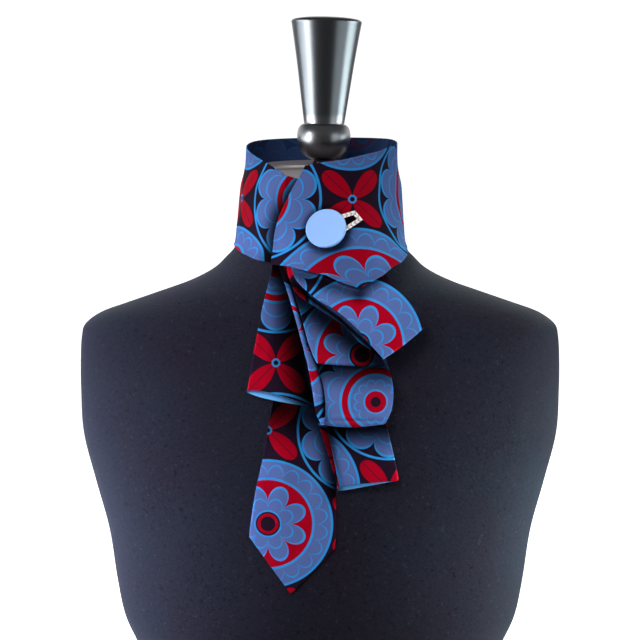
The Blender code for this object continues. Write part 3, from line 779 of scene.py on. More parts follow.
# Where the colour mix node takes its factor and colours, and gives its result
FACTOR = 0
COLOUR_A = 6
COLOUR_B = 7
MIXED = 2


def feed(place, value):
    """Give an input a number, a colour or what another node puts out."""
    if isinstance(value, Field):
        value.tree.links.new(value.socket, place)
    elif isinstance(value, tuple):
        place.default_value = (*value, 1)
    else:
        place.default_value = value


def add_node(tree, kind, inputs, output=0, **settings):
    """Add a node and return one of its outputs."""
    node = tree.nodes.new("ShaderNode" + kind)
    for name, value in settings.items():
        setattr(node, name, value)
    for place, value in inputs.items():
        feed(node.inputs[place], value)
    return Field(tree, node.outputs[output])


class Field:
    """What a node puts out. It adds, subtracts and multiplies like a number."""

    def __init__(self, tree, socket):
        self.tree = tree
        self.socket = socket

    def math(self, operation, *others, clamp=False):
        inputs = dict(enumerate((self, *others)))
        return add_node(self.tree, "Math", inputs, operation=operation, use_clamp=clamp)

    def __add__(self, other):
        return self.math("ADD", other)

    def __sub__(self, other):
        return self.math("SUBTRACT", other)

    def __mul__(self, other):
        return self.math("MULTIPLY", other)

    def __rsub__(self, other):
        return self.math("MULTIPLY_ADD", -1.0, other)

    __radd__ = __add__

    def clamped(self):
        return self.math("ADD", 0.0, clamp=True)

    def parts(self, scale=None):
        """The three parts of a vector."""
        node = self.tree.nodes.new("ShaderNodeSeparateXYZ")
        feed(node.inputs[0], self)
        fields = [Field(self.tree, socket) for socket in node.outputs]
        return [field * scale for field in fields] if scale else fields


def below(value, edge, blur=PRINT_BLUR):
    """1 where the value is under the edge and 0 over it."""
    return ((edge - value) * (0.5 / blur)).math("ADD", 0.5, clamp=True)


def near(value, centre, reach, blur=PRINT_BLUR):
    """1 where the value is within reach of the centre."""
    return below((value - centre).math("ABSOLUTE"), reach, blur)


def either(first, second, choose_second):
    """first, or second where choose_second is 1."""
    return first + (second - first) * choose_second


def paint(base, colour, mask, mode="MIX"):
    """Lay a colour over another where the mask is 1."""
    tree = next(value.tree for value in (mask, base, colour) if isinstance(value, Field))
    inputs = {FACTOR: mask, COLOUR_A: base, COLOUR_B: colour}
    return add_node(tree, "Mix", inputs, MIXED, data_type="RGBA", blend_type=mode)


def noise(place, scale, detail=2.0):
    return add_node(place.tree, "TexNoise", {"Vector": place, "Scale": scale, "Detail": detail})


def varied(place, scale, lowest, spread, detail=2.0):
    """A value that noise raises from its lowest, by its spread at most."""
    return noise(place, scale, detail) * spread + lowest


def new_material(name, **sockets):
    """Make a material, and return it with its node tree."""
    material = bpy.data.materials.new(name)
    material.use_nodes = True
    shader = material.node_tree.nodes["Principled BSDF"]
    for socket, value in sockets.items():
        feed(shader.inputs[socket.replace("_", " ")], value)
    return material, material.node_tree


def surfaced(material, colour, roughness, height, strength, depth):
    """Give a material its colour and roughness, and a relief of a depth in millimetres."""
    inputs = material.node_tree.nodes["Principled BSDF"].inputs
    relief = {"Height": height, "Strength": strength, "Distance": depth * MM}
    feed(inputs["Base Color"], colour)
    feed(inputs["Roughness"], roughness)
    feed(inputs["Normal"], add_node(height.tree, "Bump", relief))
    return material


def on_cloth(tree, layer="Cloth"):
    """Places on the flat cloth, in metres, or what another layer keeps."""
    return add_node(tree, "UVMap", {}, uv_map=layer)


def on_object(tree):
    return add_node(tree, "TexCoord", {}, "Object")


# Printed design

def nearest_centre(first, second):
    """Distance and direction from the nearer of two grids' centres, and 1 for the second grid."""
    half = PRINT_REPEAT / 2
    wrapped = [[part.math("WRAP", half, -half) for part in place] for place in (first, second)]
    away = [(x * x + y * y).math("SQRT") for x, y in wrapped]
    choose = below(away[1], away[0], GRID_BLUR)
    x, y = (either(one, other, choose) for one, other in zip(*wrapped))
    return either(*away, choose), y.math("ARCTAN2", x), choose


def painted(colour, coats, radius, angle):
    """Lay a motif's coats over a colour."""
    for coat in coats:
        outline = coat.radius
        if coat.petals:
            waves = (angle * (coat.petals / 2)).math("SINE").math("ABSOLUTE")
            outline = waves.math("POWER", coat.roundness) * coat.reach + coat.radius
        mask = near(radius, outline, coat.line / 2) if coat.line else below(radius, outline)
        colour = paint(colour, coat.colour, mask)
    return colour


def printed_colour(across, along):
    """Colour of the print at a place on the flat cloth."""
    half = PRINT_REPEAT / 2
    radius, angle, _ = nearest_centre((across + half, along), (across, along + half))
    leaves = painted(NAVY, LEAVES, radius, angle)
    vein = (angle * 2).math("COSINE") * radius
    leaves = paint(leaves, NAVY, near(vein, 0, LEAF_VEIN / 2))
    ground = painted(leaves, LEAF_HEART, radius, angle)
    radius, angle, second = nearest_centre((across, along), (across + half, along + half))
    rosette = painted(PERIWINKLE, ROSETTE, radius, angle)
    dahlia = painted(NAVY, DAHLIA, radius, angle)
    return paint(ground, paint(rosette, dahlia, second), below(radius, ROUNDEL_RADIUS))


# Materials

def silk_material(name, plain=None, shows_through=1.0):
    """Printed silk twill. plain is one colour where the cloth isn't printed."""
    material, tree = new_material(name, Specular_IOR_Level=0.025)
    flat = on_cloth(tree)
    across, along, _ = flat.parts(1 / MM)
    kept, from_hem, _ = on_cloth(tree, "Kept").parts()
    colour = plain or paint(REVERSE_BLUE, printed_colour(across, along), shows_through)
    cloudy = varied(flat, scale=24.0, lowest=0.85, spread=0.30, detail=3.0)
    slub = varied(flat, scale=900.0, lowest=0.88, spread=0.24)
    dashes = ((across + along) * (2 * math.pi / STITCH_PITCH)).math("SINE")
    stitch = near(from_hem * (1 / MM), STITCH_FROM_HEM, STITCH_WIDTH / 2)
    stitch = stitch * below(dashes, STITCH_DASH, STITCH_BLUR)
    # kept carries the painted shade: between layers, beside the overlap, round the button and in its loop
    tone = cloudy * slub * kept * (1 - stitch * STITCH_SHADE)
    grey = add_node(tree, "CombineXYZ", {0: tone, 1: tone, 2: tone})
    turns = 2 * math.pi / THREAD_PITCH
    weft = (along * turns).math("SINE")
    warp = (across * turns + along * (turns / 2)).math("SINE")
    toned = paint(colour, grey, 1.0, "MULTIPLY")
    twill = weft * (1 - WARP_SHARE) + warp * WARP_SHARE - stitch * STITCH_DEPTH
    roughness = varied(flat, scale=60.0, lowest=0.5, spread=0.16)
    return surfaced(material, toned, roughness, twill, strength=0.25, depth=0.06)


def jersey_material():
    """Dark knitted jersey with a soft nap and pale flecks of lint."""
    material, tree = new_material(
        "form_jersey_knit",
        Specular_IOR_Level=0.06,
        Sheen_Weight=0.12,
        Sheen_Roughness=0.45,
        Sheen_Tint=(0.58, 0.60, 0.66),
    )
    place = on_object(tree)
    x, _, z = place.parts(1 / MM)
    fine = noise(place, scale=620.0)
    fleck = noise(place, scale=330.0)
    cloudy = noise(place, scale=14.0, detail=3.0)
    colour = paint(JERSEY_WARM, JERSEY_COOL, below(cloudy, 0.5, blur=0.3))
    colour = paint(colour, JERSEY_NAP, below(fine, 0.45, blur=0.08) * NAP_SHARE)
    colour = paint(colour, JERSEY_PIT, below(fleck, 0.34, blur=0.03) * PIT_SHARE)
    colour = paint(colour, JERSEY_LINT, below(0.68 - fleck, 0.0, blur=0.03) * LINT_SHARE)
    wales = (x * WALE_TURN).math("SINE").math("ABSOLUTE")
    courses = (z * COURSE_TURN).math("SINE")
    knit = wales + courses * COURSE_DEPTH + fine * NAP_DEPTH
    return surfaced(material, colour, 0.92, knit, strength=0.35, depth=0.25)


def chrome_material():
    """Polished plate with painted reflections: soft streaks across it and a dark patch at the viewer's
    left.
    """
    material, tree = new_material("plate_polished_chrome", Metallic=0.3)
    place = on_object(tree)
    x, y, _ = place.parts(1 / MM)
    depth = varied(place, scale=22.0, lowest=y, spread=REFLECTION_BEND)
    colour = PLATE_GREY
    for reflection in PLATE_PAINTED_REFLECTIONS:
        mask = near(depth, reflection.depth, reflection.reach, reflection.blur) * reflection.strength
        colour = paint(colour, reflection.colour, mask * below(x, reflection.right_end, REFLECTION_END_BLUR))
    roughness = varied(place, scale=30.0, lowest=0.32, spread=0.14, detail=3.0)
    uneven = noise(place, scale=22.0, detail=1.0)
    return surfaced(material, colour, roughness, uneven, strength=0.3, depth=2)


def gloss_material():
    """Dark glossy finish of the finial, with painted light on its bulb and painted shade towards its foot.
    """
    material, tree = new_material("finial_dark_gloss", Metallic=1.0)
    place = on_object(tree)
    _, _, z = place.parts(1 / MM)
    colour = paint(*CUP_GREYS, noise(place, scale=18.0, detail=3.0))
    for shade, top, blur in BULB_PAINTED_LIGHT_AND_SHADE:
        colour = paint(colour, shade, below(z, FINIAL_BASE + top, blur))
    roughness = varied(place, scale=70.0, lowest=0.29, spread=0.06, detail=3.0)
    uneven = noise(place, scale=40.0, detail=1.0)
    return surfaced(material, colour, roughness, uneven, strength=0.08, depth=0.6)


def button_material():
    """Pale blue polished resin."""
    material, tree = new_material("button_pale_blue", Specular_IOR_Level=0.12)
    place = on_object(tree)
    colour = paint(*BUTTON_BLUES, noise(place, scale=90.0, detail=3.0))
    roughness = varied(place, scale=220.0, lowest=0.4, spread=0.14)
    uneven = noise(place, scale=500.0)
    return surfaced(material, colour, roughness, uneven, strength=0.08, depth=0.2)


def tape_material():
    """Flat braid of white and rose threads, with painted shade in its middle groove."""
    material, tree = new_material("loop_braided_tape", Sheen_Weight=0.25)
    flat = on_cloth(tree)
    across, along, _ = flat.parts(1 / MM)
    off_middle = across.math("ABSOLUTE")
    thread = (along * BRAID_TURN + off_middle * THREAD_SLANT).math("SINE") * 0.5 + 0.5
    colour = paint(TAPE_WHITE, TAPE_ROSE, thread.math("POWER", THREAD_SHARPNESS))
    # Painted shade in the braid's middle groove
    groove_shade = below(off_middle, 0.12, blur=0.08)
    colour = paint(colour, TAPE_GROOVE_SHADE, groove_shade * GROOVE_SHADE_SHARE)
    strands = (along * STRANDS_ALONG + across * STRANDS_ACROSS).math("SINE")
    strands = strands + noise(flat, scale=2500.0)
    return surfaced(material, colour, 0.6, strands, strength=0.35, depth=0.1)


# Making pieces

def make_piece(name, node, slot, points, faces, materials, uvs=None, face_materials=None, kept=None):
    """Make one shown mesh from points in millimetres, standing for a CAD node."""
    mesh = bpy.data.meshes.new(name)
    mesh.from_pydata((np.asarray(points, float) * MM).tolist(), [], faces)
    for material in materials:
        mesh.materials.append(material)
    if face_materials is not None:
        mesh.polygons.foreach_set("material_index", face_materials)
    corners = np.zeros(len(mesh.loops), int)
    mesh.loops.foreach_get("vertex_index", corners)
    for layer, values, scale in (("Cloth", uvs, MM), ("Kept", kept, 1)):
        if values is not None:
            data = mesh.uv_layers.new(name=layer).data
            data.foreach_set("uv", (values.reshape(-1, 2) * scale)[corners].ravel())
    mesh.validate()
    mesh.shade_smooth()
    piece = bpy.data.objects.new(name, mesh)
    bpy.context.scene.collection.objects.link(piece)
    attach(piece, "root")
    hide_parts(node)
    return piece


def ring_faces(rings, closed=False):
    """Quads between closed rings of equal length, and from the last back to the first if closed."""
    count = len(rings[0])
    faces = []
    for level in range(len(rings) if closed else len(rings) - 1):
        low = level * count
        high = (level + 1) % len(rings) * count
        for index in range(count):
            following = (index + 1) % count
            faces.append((low + index, low + following, high + following, high + index))
    return faces


def grid_normals(grid):
    """Unit normals of a grid of points, facing the viewer on the bow's front layers."""
    down, across = np.gradient(grid, axis=(0, 1))
    normals = np.cross(down, across)
    return normals / np.maximum(np.linalg.norm(normals, axis=2, keepdims=True), LEAST_LENGTH)


def shell_faces(rows, columns):
    """Faces of a front and a back layer that share the points of their rim."""
    front = np.arange(rows * columns).reshape(rows, columns)
    back = front + rows * columns
    for edge in (np.s_[0, :], np.s_[-1, :], np.s_[:, 0], np.s_[:, -1]):
        back[edge] = front[edge]
    quads = [
        np.stack([layer[:-1, :-1], layer[1:, :-1], layer[1:, 1:], layer[:-1, 1:]], axis=2)[:, :, ::way]
        for layer, way in ((front, 1), (back, -1))
    ]
    return np.concatenate(quads).reshape(-1, 4)


def cloth_shell(node, grid, wall, materials, places, kept):
    """Make a closed thin shell round a grid of middle points, with rounded edges."""
    rows, columns = grid.shape[:2]
    thickness = np.minimum(rim_shares(rows)[:, None], rim_shares(columns))
    reach = grid_normals(grid) * (thickness * wall / 2)[:, :, None]
    points, places, kept = (
        np.concatenate(layers).reshape(-1, layers[0].shape[2])
        for layers in ((grid + reach, grid - reach), (places, places), (kept, kept))
    )
    faces = shell_faces(rows, columns)
    sides = np.repeat([0, len(materials) - 1], len(faces) // 2)
    used, faces = np.unique(faces, return_inverse=True)
    faces = faces.reshape(-1, 4).tolist()
    looks = (materials, places[used], sides, kept[used])
    piece = make_piece(node + "_silk", node, "printed_silk", points[used], faces, *looks)


# Folded strips

def strip_lines(rows, shares):
    """x, z and lift across a strip, one line for each row of its table."""
    return [
        blend(column(rows, "left_" + name)[:, None], column(rows, "right_" + name)[:, None], shares)
        for name in ("x", "z", "lift")
    ]


def strip_points(rows, shares, creases):
    x, z, lift = strip_lines(rows, shares)
    return off_form(x, z, lift + creased(creases, x, z))


def rim_rows(rows, at_start, at_end):
    """Add the close lines of a folded edge to a smoothed table's ends."""
    def beyond(end, inner):
        length = math.hypot(inner.left_x - end.left_x, inner.left_z - end.left_z)
        shares = (min(RIM_LIMIT, distance / length) for distance, _ in RIM_STEPS[1:-1])
        return [between(end, inner, share) for share in shares]

    first = rows[:1] + beyond(rows[0], rows[1]) if at_start else rows[:1]
    last = beyond(rows[-1], rows[-2])[::-1] + rows[-1:] if at_end else rows[-1:]
    return first + rows[1:-1] + last


def strip_width(rows):
    row = rows[len(rows) // 2]
    return math.hypot(row.right_x - row.left_x, row.right_z - row.left_z)


def round_fold(last, before, first, shares, sag):
    """Lines of a soft fold from a front layer's last row to a back layer's first row."""
    angles = np.linspace(0, math.pi, FOLD_STEPS + 1)[1:-1, None]
    turned = (1 - np.cos(angles)) / 2
    last_x, last_z, front_lift = strip_lines([last], shares)
    before_x, before_z, _ = strip_lines([before], shares)
    first_x, first_z, back_lift = strip_lines([first], shares)
    length = np.hypot(last_x - before_x, last_z - before_z)
    reach = ((front_lift - back_lift) / 2 + sag * np.sin(math.pi * shares)) * np.sin(angles)
    x = blend(last_x, first_x, turned) + (last_x - before_x) / length * reach
    z = blend(last_z, first_z, turned) + (last_z - before_z) / length * reach
    return off_form(x, z, blend(front_lift, back_lift, turned))


def folded_loop(node, layers, sag, silk):
    """Make a strip that runs down, turns under in a soft fold and runs up behind itself."""
    front, back = layers
    shares = edged_shares(STRIP_COLUMNS, strip_width(front.rows))
    front_rows = rim_rows(smooth_rows(front.rows, STRIP_STEPS), True, False)
    back_rows = rim_rows(smooth_rows(back.rows, STRIP_STEPS), False, True)
    fold = round_fold(front.rows[-1], front_rows[-2], back.rows[0], shares, sag)
    front_grid = strip_points(front_rows, shares, front.creases)
    back_grid = strip_points(back_rows, shares, back.creases)
    grid = np.concatenate([front_grid, fold, back_grid])
    middle = len(front_rows) + FOLD_STEPS // 2
    places = grid[:, :, [0, 2]]
    places[middle + 1:, :, 1] = 2 * places[middle, :, 1] - places[middle + 1:, :, 1]
    places[:middle] += front.place
    places[middle:] += back.place
    kept = np.concatenate([with_painted_shade(front.tints, grid[:middle]), with_painted_shade(back.tints, grid[middle:])])
    cloth_shell(node, grid, SILK_WALL, [silk], places, kept)


def hung_strip(node, layer, tip, silk):
    """Make a single strip. The rows of its tip are added to its table."""
    rows = rim_rows(smooth_rows(layer.rows, STRIP_STEPS) + tip, True, True)
    grid = strip_points(rows, edged_shares(STRIP_COLUMNS, strip_width(rows)), layer.creases)
    places = grid[:, :, [0, 2]] + layer.place
    cloth_shell(node, grid, SILK_WALL, [silk], places, with_painted_shade(layer.tints, grid))


def flat_tube(node, layer, hem, materials):
    """Make a strip folded to a flat tube and open at its hem, where its two sides part."""
    lines = smooth_rows(layer.rows, STRIP_STEPS)
    intervals = len(layer.rows) - 1
    run = np.linspace(0, 1, len(lines))[:, None]
    peak_power = math.log(0.5) / math.log(hem.peak)
    opened = smoothstep(intervals - POCKET_INTERVALS, intervals, run * intervals)
    width = strip_width(lines)

    def face(side, inset):
        """One side's outer face, or its inner one at an inset."""
        across = blend(inset / width, 1 - inset / width, edged_shares(STRIP_COLUMNS, width))[None, :]
        loft_share = np.sin(math.pi * np.clip(across, 0, 1)) ** LOFT_POWER
        open_thickness = blend(TUBE_EDGE, hem.thickness, loft_share * opened)
        half = blend(CAD_STRIP_WALL, open_thickness, opened) / 2
        edge = np.minimum(across, 1 - across) * width - inset
        depth = np.maximum(half - inset, LEAST_DEPTH)
        rounded = np.sqrt(1 - np.clip(1 - edge / depth, 0, 1) ** 2)
        lens = np.sin(math.pi * across ** peak_power) * run ** LENS_START_POWER
        x, z, lift = strip_lines(lines, across)
        z = z + (hem.rise if side > 0 else -hem.drop) * lens
        return off_form(x, z, lift + creased(layer.creases, x, z) + side * depth * rounded)

    def both_sides(front, back):
        return np.concatenate([front, back[:, -2:0:-1]], axis=1)

    front = face(1, 0)
    outer = both_sides(front, face(-1, 0))
    inner = both_sides(face(1, POCKET_WALL), face(-1, POCKET_WALL))[::-1]
    places = both_sides(front[:, :, [0, 2]], front[:, :, [0, 2]])
    down = np.linalg.norm(np.diff(front, axis=0), axis=2)[::-1].cumsum(axis=0)[::-1]
    kept = with_painted_shade(layer.tints, front, np.pad(down, ((0, 1), (0, 0))))
    kept = both_sides(kept, kept)
    rings, places, kept = (
        np.concatenate(pair)
        for pair in ((outer, inner), (places, places[::-1]), (kept, kept[::-1]))
    )
    faces = [quad[::-1] for quad in ring_faces(rings, closed=True)]
    outside = (len(lines) - 1) * outer.shape[1]
    looks = (materials, places + layer.place, [0] * outside + [1] * (len(faces) - outside), kept)
    piece = make_piece(node + "_silk", node, "printed_silk", rings.reshape(-1, 3), faces, *looks)


# Collar band

def band_point(turn, z, out=0.0):
    """Middle of the band's wall at turns and heights, moved out by a distance."""
    angle = np.radians(turn)
    x, y = section_point(COLLAR_CURVE, angle, z)
    half_width, front, back, _ = section_at(COLLAR_CURVE, z)
    out_x = -np.sin(angle) * np.where(np.cos(angle) > 0, front, back)
    out_y = -np.cos(angle) * half_width
    wider = read(COLLAR_CURVE, "half_width", z - FLARE_STEP)
    flare = np.maximum(0.0, wider - half_width) / FLARE_STEP
    spread = COLLAR_CLEARANCE * (np.hypot(1, flare) - 1)
    bulge = read(BAND_STANDOFFS, "bulge", turn) * (1 - smoothstep(BULGE_FULL_AT, BULGE_GONE_AT, z))
    away = read(BAND_STANDOFFS, "layer", turn) + bulge + spread + out
    away = away / np.hypot(out_x, out_y)
    return np.stack([x + neck_lean(z) + out_x * away, y + out_y * away, z + 0 * turn], axis=-1)


def band_front(x, z, out):
    """Points of the overlapping front at x and z, out from the middle of its wall."""
    x, z, out = np.broadcast_arrays(*(np.asarray(value, float) for value in (x, z, out)))
    low, high = (np.full(x.shape, turn) for turn in FRONT_TURNS)
    for _ in range(HALVINGS):
        middle = (low + high) / 2
        is_left = band_point(middle, z, out)[..., 0] > x
        low = np.where(is_left, middle, low)
        high = np.where(is_left, high, middle)
    return band_point((low + high) / 2, z, out)


def band_step(turn):
    """How far the first layer steps in towards the overlap."""
    level = blend(-STEP_SUNK, STEP_RAISED, smoothstep(STEP_TURN - STEP_BLUR, STEP_TURN, turn))
    return level * (1 - smoothstep(STEP_TURN, STEP_TURN + STEP_FADE, turn))


def make_band(silk, reverse):
    """The band, from its top edge down and from the front's free edge round to its start."""
    shares = 1 - edged_shares(BAND_ROWS, BAND_HEIGHT)
    rims = np.array([distance for distance, _ in RIM_STEPS[:-1]]) / BAND_MM_PER_DEGREE
    round_turns = np.arange(BAND_START, BAND_TIP_TURN, BAND_COLUMN_DEGREES)
    round_turns = np.concatenate([BAND_START + rims, round_turns[1:]])
    open_shares = np.linspace(0, BAND_END_EVEN, BAND_END_COLUMNS)
    end_shares = np.concatenate([open_shares, 1 - rims[::-1] / BAND_END_DEGREES])
    end_turns = read(smooth_rows(BAND_ENDS, CURVE_STEPS), "turn", shares)[:, None]
    first_turns = np.broadcast_to(round_turns, (len(shares), len(round_turns)))
    last_turns = blend(BAND_TIP_TURN, end_turns, end_shares)
    turns = np.concatenate([first_turns, last_turns], axis=1)[:, ::-1]
    low = read(BAND_BOTTOM, "height", turns)
    high = read(smooth_rows(BAND_TOP, CURVE_STEPS), "height", turns)
    z = blend(low, high, shares[:, None])
    folds = [
        crease._replace(x1=crease.x1 * BAND_MM_PER_DEGREE, x2=crease.x2 * BAND_MM_PER_DEGREE)
        for crease in BAND_CREASES
    ]
    grid = band_point(turns, z, band_step(turns) + creased(folds, turns * BAND_MM_PER_DEGREE, z))

    # Painted shade: darker beside the overlap's free edge, a painted shadow round the button, darker inside
    # its loop, and a little darker all over
    from_edge = (turns - end_turns + 360) * BAND_MM_PER_DEGREE
    kept = BAND_PAINTED_SHADE_KEPT * (1 - OVERLAP_PAINTED_SHADE * np.exp(-((from_edge / OVERLAP_PAINTED_SHADE_SPREAD) ** 2)))
    off_button = np.hypot(grid[:, :, 0] - BUTTON_X, grid[:, :, 2] - BUTTON_Z) - BUTTON_RADIUS
    shade = BUTTON_PAINTED_SHADOW * np.exp(-((np.maximum(off_button, 0) / BUTTON_PAINTED_SHADOW_SPREAD) ** 2))
    in_front = unshaded_share(BAND_PAINTED_SHADES, grid) * (1 - shade)
    kept = np.where(turns > FRONT_TURNS[0], kept * in_front, kept)
    from_end = np.where(turns > BAND_TIP_TURN, (end_turns - turns) * BAND_MM_PER_DEGREE, FAR)
    from_hem = np.minimum(np.minimum(z - low, high - z), from_end)
    looks = np.stack([kept ** 2, from_hem * MM], axis=2)
    places = np.stack([-turns * BAND_MM_PER_DEGREE, z], axis=2) + BAND_PLACE
    sides = [silk, reverse]
    cloth_shell("collar_band", grid, COLLAR_WALL, sides, places, looks)


# Dress form, plate and finial

def circle(count):
    """Evenly spaced angles, once round."""
    return np.linspace(0, 2 * math.pi, count, endpoint=False)


def form_ring(row, scale=1.0, rise=0.0):
    """One ring of the form. The neck's top rings slope down to the front."""
    z = np.full(FORM_SEGMENTS, float(row.height))
    x, y = section_point([row, row._replace(height=row.height + 1)], circle(FORM_SEGMENTS), z)
    slope = NECK_SLOPE * smoothstep(NECK_SLOPE_FROM, NECK_TOP, row.height)
    return np.stack([x * scale + neck_lean(z), y * scale, z + slope * y * scale + rise], axis=1)


def capped(name, node, slot, rings, material):
    """A solid of closed rings with flat ends."""
    faces = [face[::-1] for face in ring_faces(rings)]
    count = len(rings[0])
    last = (len(rings) - 1) * count
    faces += [tuple(range(count)), tuple(reversed(range(last, last + count)))]
    piece = make_piece(name, node, slot, np.concatenate(rings), faces, [material])
    piece.data.set_sharp_from_angle(angle=SHARP_ANGLE)
    return piece


def turned_rings(outline):
    """Level rings with an outline's radii and heights."""
    turns = circle(TURNED_SEGMENTS)
    return [
        np.stack([radius * np.cos(turns), radius * np.sin(turns), np.full(TURNED_SEGMENTS, height)], axis=1)
        for radius, height in outline
    ]


def rounded_edges(radius, low, high, rounding):
    """Quarter rounds at the lower and the upper rim of a turned plate."""
    points = []
    for height, first in ((low + rounding, -math.pi / 2), (high - rounding, 0)):
        for step in range(ROUND_STEPS + 1):
            angle = first + math.pi / 2 * step / ROUND_STEPS
            out = rounding * math.cos(angle)
            points.append((radius - rounding + out, height + rounding * math.sin(angle)))
    return points


def make_form(material):
    rings = [form_ring(row) for row in smooth_rows(FORM_SECTIONS, CURVE_STEPS)]
    capped("dress_form", "form_body", "form_jersey", rings, material)


def make_plate(material):
    top = FORM_SECTIONS[-1]
    profile = rounded_edges(top.half_width, SEAM_GAP, SEAM_GAP + PLATE_THICKNESS, PLATE_ROUNDING)
    rings = [form_ring(top, radius / top.half_width, rise) for radius, rise in profile]
    capped("neck_plate_polished", "neck_plate", "plate_chrome", rings, material)


def make_finial(material):
    """Turn a stem, a bulb and a flared cup, which lean to the viewer's right."""
    cosine = math.cos(FINIAL_LEAN)
    sine = math.sin(FINIAL_LEAN)
    lean = np.array([[cosine, 0, -sine], [0, 1, 0], [sine, 0, cosine]])
    foot = np.array([FINIAL_X, 0, FINIAL_BASE])
    outline = smooth_rows(FINIAL_BULB, FINIAL_STEPS) + smooth_rows(FINIAL_CUP, FINIAL_STEPS)
    rings = [foot + ring @ lean for ring in turned_rings(outline)]
    capped("finial_turned", "finial", "finial_gloss", rings, material)


# Button and loop

def button_frame():
    """Seat and axes of the button on the overlapping front."""
    reach = BUTTON_RADIUS * SEAT_SHARE
    seat = band_front(BUTTON_X, BUTTON_Z, CAD_COLLAR_WALL / 2)
    upward = band_front(BUTTON_X, BUTTON_Z + reach, 0) - band_front(BUTTON_X, BUTTON_Z - reach, 0)
    sideways = band_front(BUTTON_X + reach, BUTTON_Z, 0) - band_front(BUTTON_X - reach, BUTTON_Z, 0)
    outward = np.cross(sideways, upward)
    x, y, z = outward / np.linalg.norm(outward)
    cosine = math.cos(BUTTON_YAW)
    sine = math.sin(BUTTON_YAW)
    facing = np.array([x * cosine - y * sine, x * sine + y * cosine, z])
    side = np.cross([0.0, 0.0, 1.0], facing)
    side /= np.linalg.norm(side)
    centre = seat + np.array([x, y, z]) * BUTTON_STANDOFF
    return centre, np.array([side, np.cross(facing, side), facing])


def make_button(material):
    """A flat round button on its shank, slightly dished inside its rim."""
    centre, axes = button_frame()
    profile = [(SHANK_RADIUS, SHANK_GAP - BUTTON_STANDOFF), (SHANK_RADIUS, 0.0)]
    profile += rounded_edges(BUTTON_RADIUS, 0, BUTTON_THICKNESS, BUTTON_ROUNDING)
    for step in range(1, DISH_STEPS + 1):
        share = step / DISH_STEPS
        radius = blend(BUTTON_RADIUS - BUTTON_ROUNDING, DISH_RADIUS, share)
        profile.append((radius, BUTTON_THICKNESS - DISH_DEPTH * smoothstep(0, 1, share)))
    dished = BUTTON_THICKNESS - DISH_DEPTH
    profile += [(DISH_RADIUS * share, dished) for share in DISH_RINGS]
    rings = [centre + ring @ axes for ring in turned_rings(profile)]
    capped("button_disc", "button", "button_blue", rings, material)


def tape_line():
    """Middle line of the tape, in short straight steps."""
    points = []
    for start, end in zip(LOOP_LINE, LOOP_LINE[1:] + LOOP_LINE[:1]):
        count = max(2, round(math.hypot(end.x - start.x, end.z - start.z) / TAPE_STEP))
        for step in range(count):
            points.append(between(start, end, step / count))
    return np.array(points)


def unit(vectors):
    return vectors / np.linalg.norm(vectors, axis=1, keepdims=True)


def make_loop(material):
    """A flat braided tape with mitred corners round the button's shank."""
    line = tape_line()
    steps = np.roll(line, -1, axis=0) - line
    distance = np.pad(np.linalg.norm(steps, axis=1).cumsum()[:-1], (1, 0))[:, None]
    before = unit(np.roll(steps, 1, axis=0))
    tangent = unit(before + unit(steps))
    side = np.stack([tangent[:, 1], -tangent[:, 0]], axis=1)
    mitre = 1 / np.maximum(LEAST_MITRE, side[:, 0] * before[:, 1] - side[:, 1] * before[:, 0])
    across, up = (
        (np.sign(wave) * np.abs(wave) ** TAPE_ROUNDNESS)[None, :]
        for wave in (np.cos(circle(TAPE_SIDES)), np.sin(circle(TAPE_SIDES)))
    )
    braid = np.sin(distance * BRAID_TURN + np.abs(across) * BRAID_SLANT)
    braid = BRAID_DEPTH * (braid - np.exp(-((across / GROOVE_WIDTH) ** 2)))
    height = LOOP_THICKNESS / 2 * (1 + up) + np.where(up > BRAID_FROM, braid, 0.0)
    reach = across * mitre[:, None] * LOOP_WIDTH / 2
    x = BUTTON_X + line[:, [0]] + side[:, [0]] * reach
    z = BUTTON_Z + line[:, [1]] + side[:, [1]] * reach
    rings = band_front(x, z, CAD_COLLAR_WALL / 2 + LOOP_GAP + height)
    faces = ring_faces(rings, closed=True)
    uvs = np.stack(np.broadcast_arrays(across * LOOP_WIDTH / 2, distance), axis=2)
    points = rings.reshape(-1, 3)
    make_piece("loop_tape_braid", "button_loop", "loop_tape", points, faces, [material], uvs)


# Studio

def put(name, data):
    """Add an object to the scene."""
    thing = bpy.data.objects.new(name, data)
    bpy.context.scene.collection.objects.link(thing)
    return thing


def camera_ray(tree):
    return add_node(tree, "LightPath", {}, "Is Camera Ray")


def make_floor():
    """Pale floor that runs into the white behind the object."""
    mesh = bpy.data.meshes.new("floor")
    mesh.from_pydata(FLOOR_CORNERS, [], [(0, 1, 2, 3)])
    material, tree = new_material(
        "floor_pale", Roughness=0.8, Specular_IOR_Level=0.1, Emission_Color=(1.0, 1.0, 1.0)
    )
    inputs = tree.nodes["Principled BSDF"].inputs
    place = on_object(tree)
    seen = camera_ray(tree)
    colour = paint(FLOOR_BOUNCE, paint(*FLOOR_GREYS, noise(place, scale=3.0)), seen)
    away = add_node(tree, "VectorMath", {0: place}, "Value", operation="LENGTH")
    glow = ((away - GLOW_FROM) * (1 / (GLOW_TO - GLOW_FROM))).clamped()
    feed(inputs["Base Color"], colour)
    feed(inputs["Emission Strength"], glow * seen)
    mesh.materials.append(material)
    put("floor", mesh)


def look_at(thing, target):
    direction = np.array(target, float) - np.array(thing.location, float)
    x, y, z = direction / np.linalg.norm(direction)
    thing.rotation_euler = (math.acos(-z), 0, math.atan2(-x, y))


def make_lights():
    for row in LIGHTS:
        light = bpy.data.lights.new(row.name, "AREA")
        light.shape = "RECTANGLE"
        light.size = row.width
        light.size_y = row.height
        light.spread = math.radians(row.spread)
        light.energy = row.watts
        light.color = row.colour
        lamp = put(row.name, light)
        lamp.location = row.place
        look_at(lamp, row.target)
        lamp.visible_glossy = row.reflected


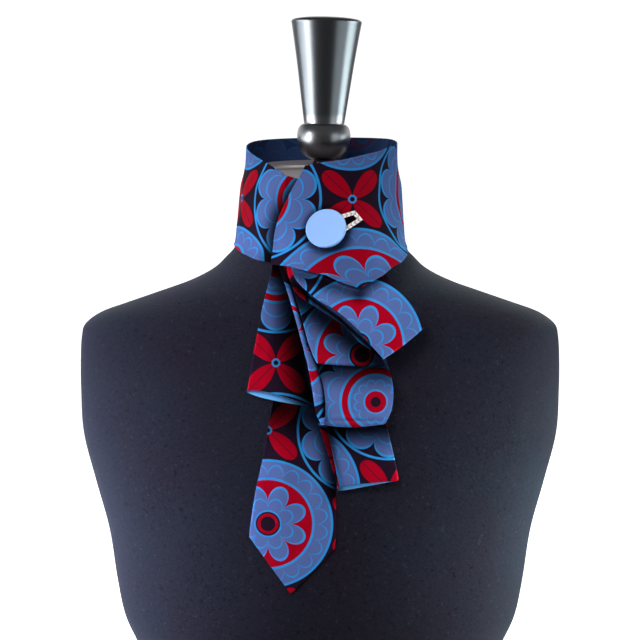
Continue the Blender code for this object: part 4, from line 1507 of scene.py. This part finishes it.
def make_world():
    """White seen behind the object, a soft light from all round and more from the backdrop."""
    world = bpy.data.worlds.new("studio")
    bpy.context.scene.world = world
    world.use_nodes = True
    tree = world.node_tree
    background = tree.nodes["Background"]
    seen = camera_ray(tree)
    _, y, z = add_node(tree, "TexCoord", {}, "Generated").parts()
    level = (z * z * -BACKDROP_FALL + 1).clamped()
    light = (y * BACKDROP_SPREAD).clamped() * level * BACKDROP_LIGHT + WORLD_LIGHT
    feed(background.inputs["Color"], (1, 1, 1))
    feed(background.inputs["Strength"], either(light, seen * SEEN_WHITE, seen))


def make_camera():
    camera = bpy.data.cameras.new("camera")
    camera.lens = CAMERA_LENS
    camera.sensor_width = CAMERA_SENSOR
    holder = put("camera", camera)
    holder.location = CAMERA_PLACE
    holder.rotation_euler = (CAMERA_PITCH, 0, 0)
    bpy.context.scene.camera = holder


# The object

def make_strips(silk, lining):
    """The folded strips, from the form outwards."""
    tip = [between(LONG_BLADE[-1], BLADE_TIP, step / TIP_STEPS) for step in range(1, TIP_STEPS + 1)]
    hung_strip("long_blade", BLADE_LAYER, tip, silk)
    hung_strip("tail_pleat", PLEAT_LAYER, [], silk)
    flat_tube("tail", TAIL_LAYER, TAIL_HEM, [silk, lining])
    flat_tube("side_panel", PANEL_LAYER, SIDE_PANEL_HEM, [silk, lining])
    folded_loop("lower_loop", LOWER_LAYERS, LOWER_FOLD_SAG, silk)
    folded_loop("upper_loop", UPPER_LAYERS, UPPER_FOLD_SAG, silk)
    folded_loop("wing_loop", WING_LAYERS, WING_FOLD_SAG, silk)


def main():
    bpy.context.scene.view_settings.view_transform = "Standard"
    make_camera()
    make_floor()
    make_world()
    make_lights()

    silk = silk_material("silk_print")
    reverse = silk_material("silk_print_reverse", shows_through=REVERSE_SHARE)
    lining = silk_material("silk_lining", plain=LINING_BLUE)
    make_form(jersey_material())
    make_plate(chrome_material())
    make_finial(gloss_material())
    make_band(silk, reverse)
    make_strips(silk, lining)
    make_button(button_material())
    make_loop(tape_material())


main()
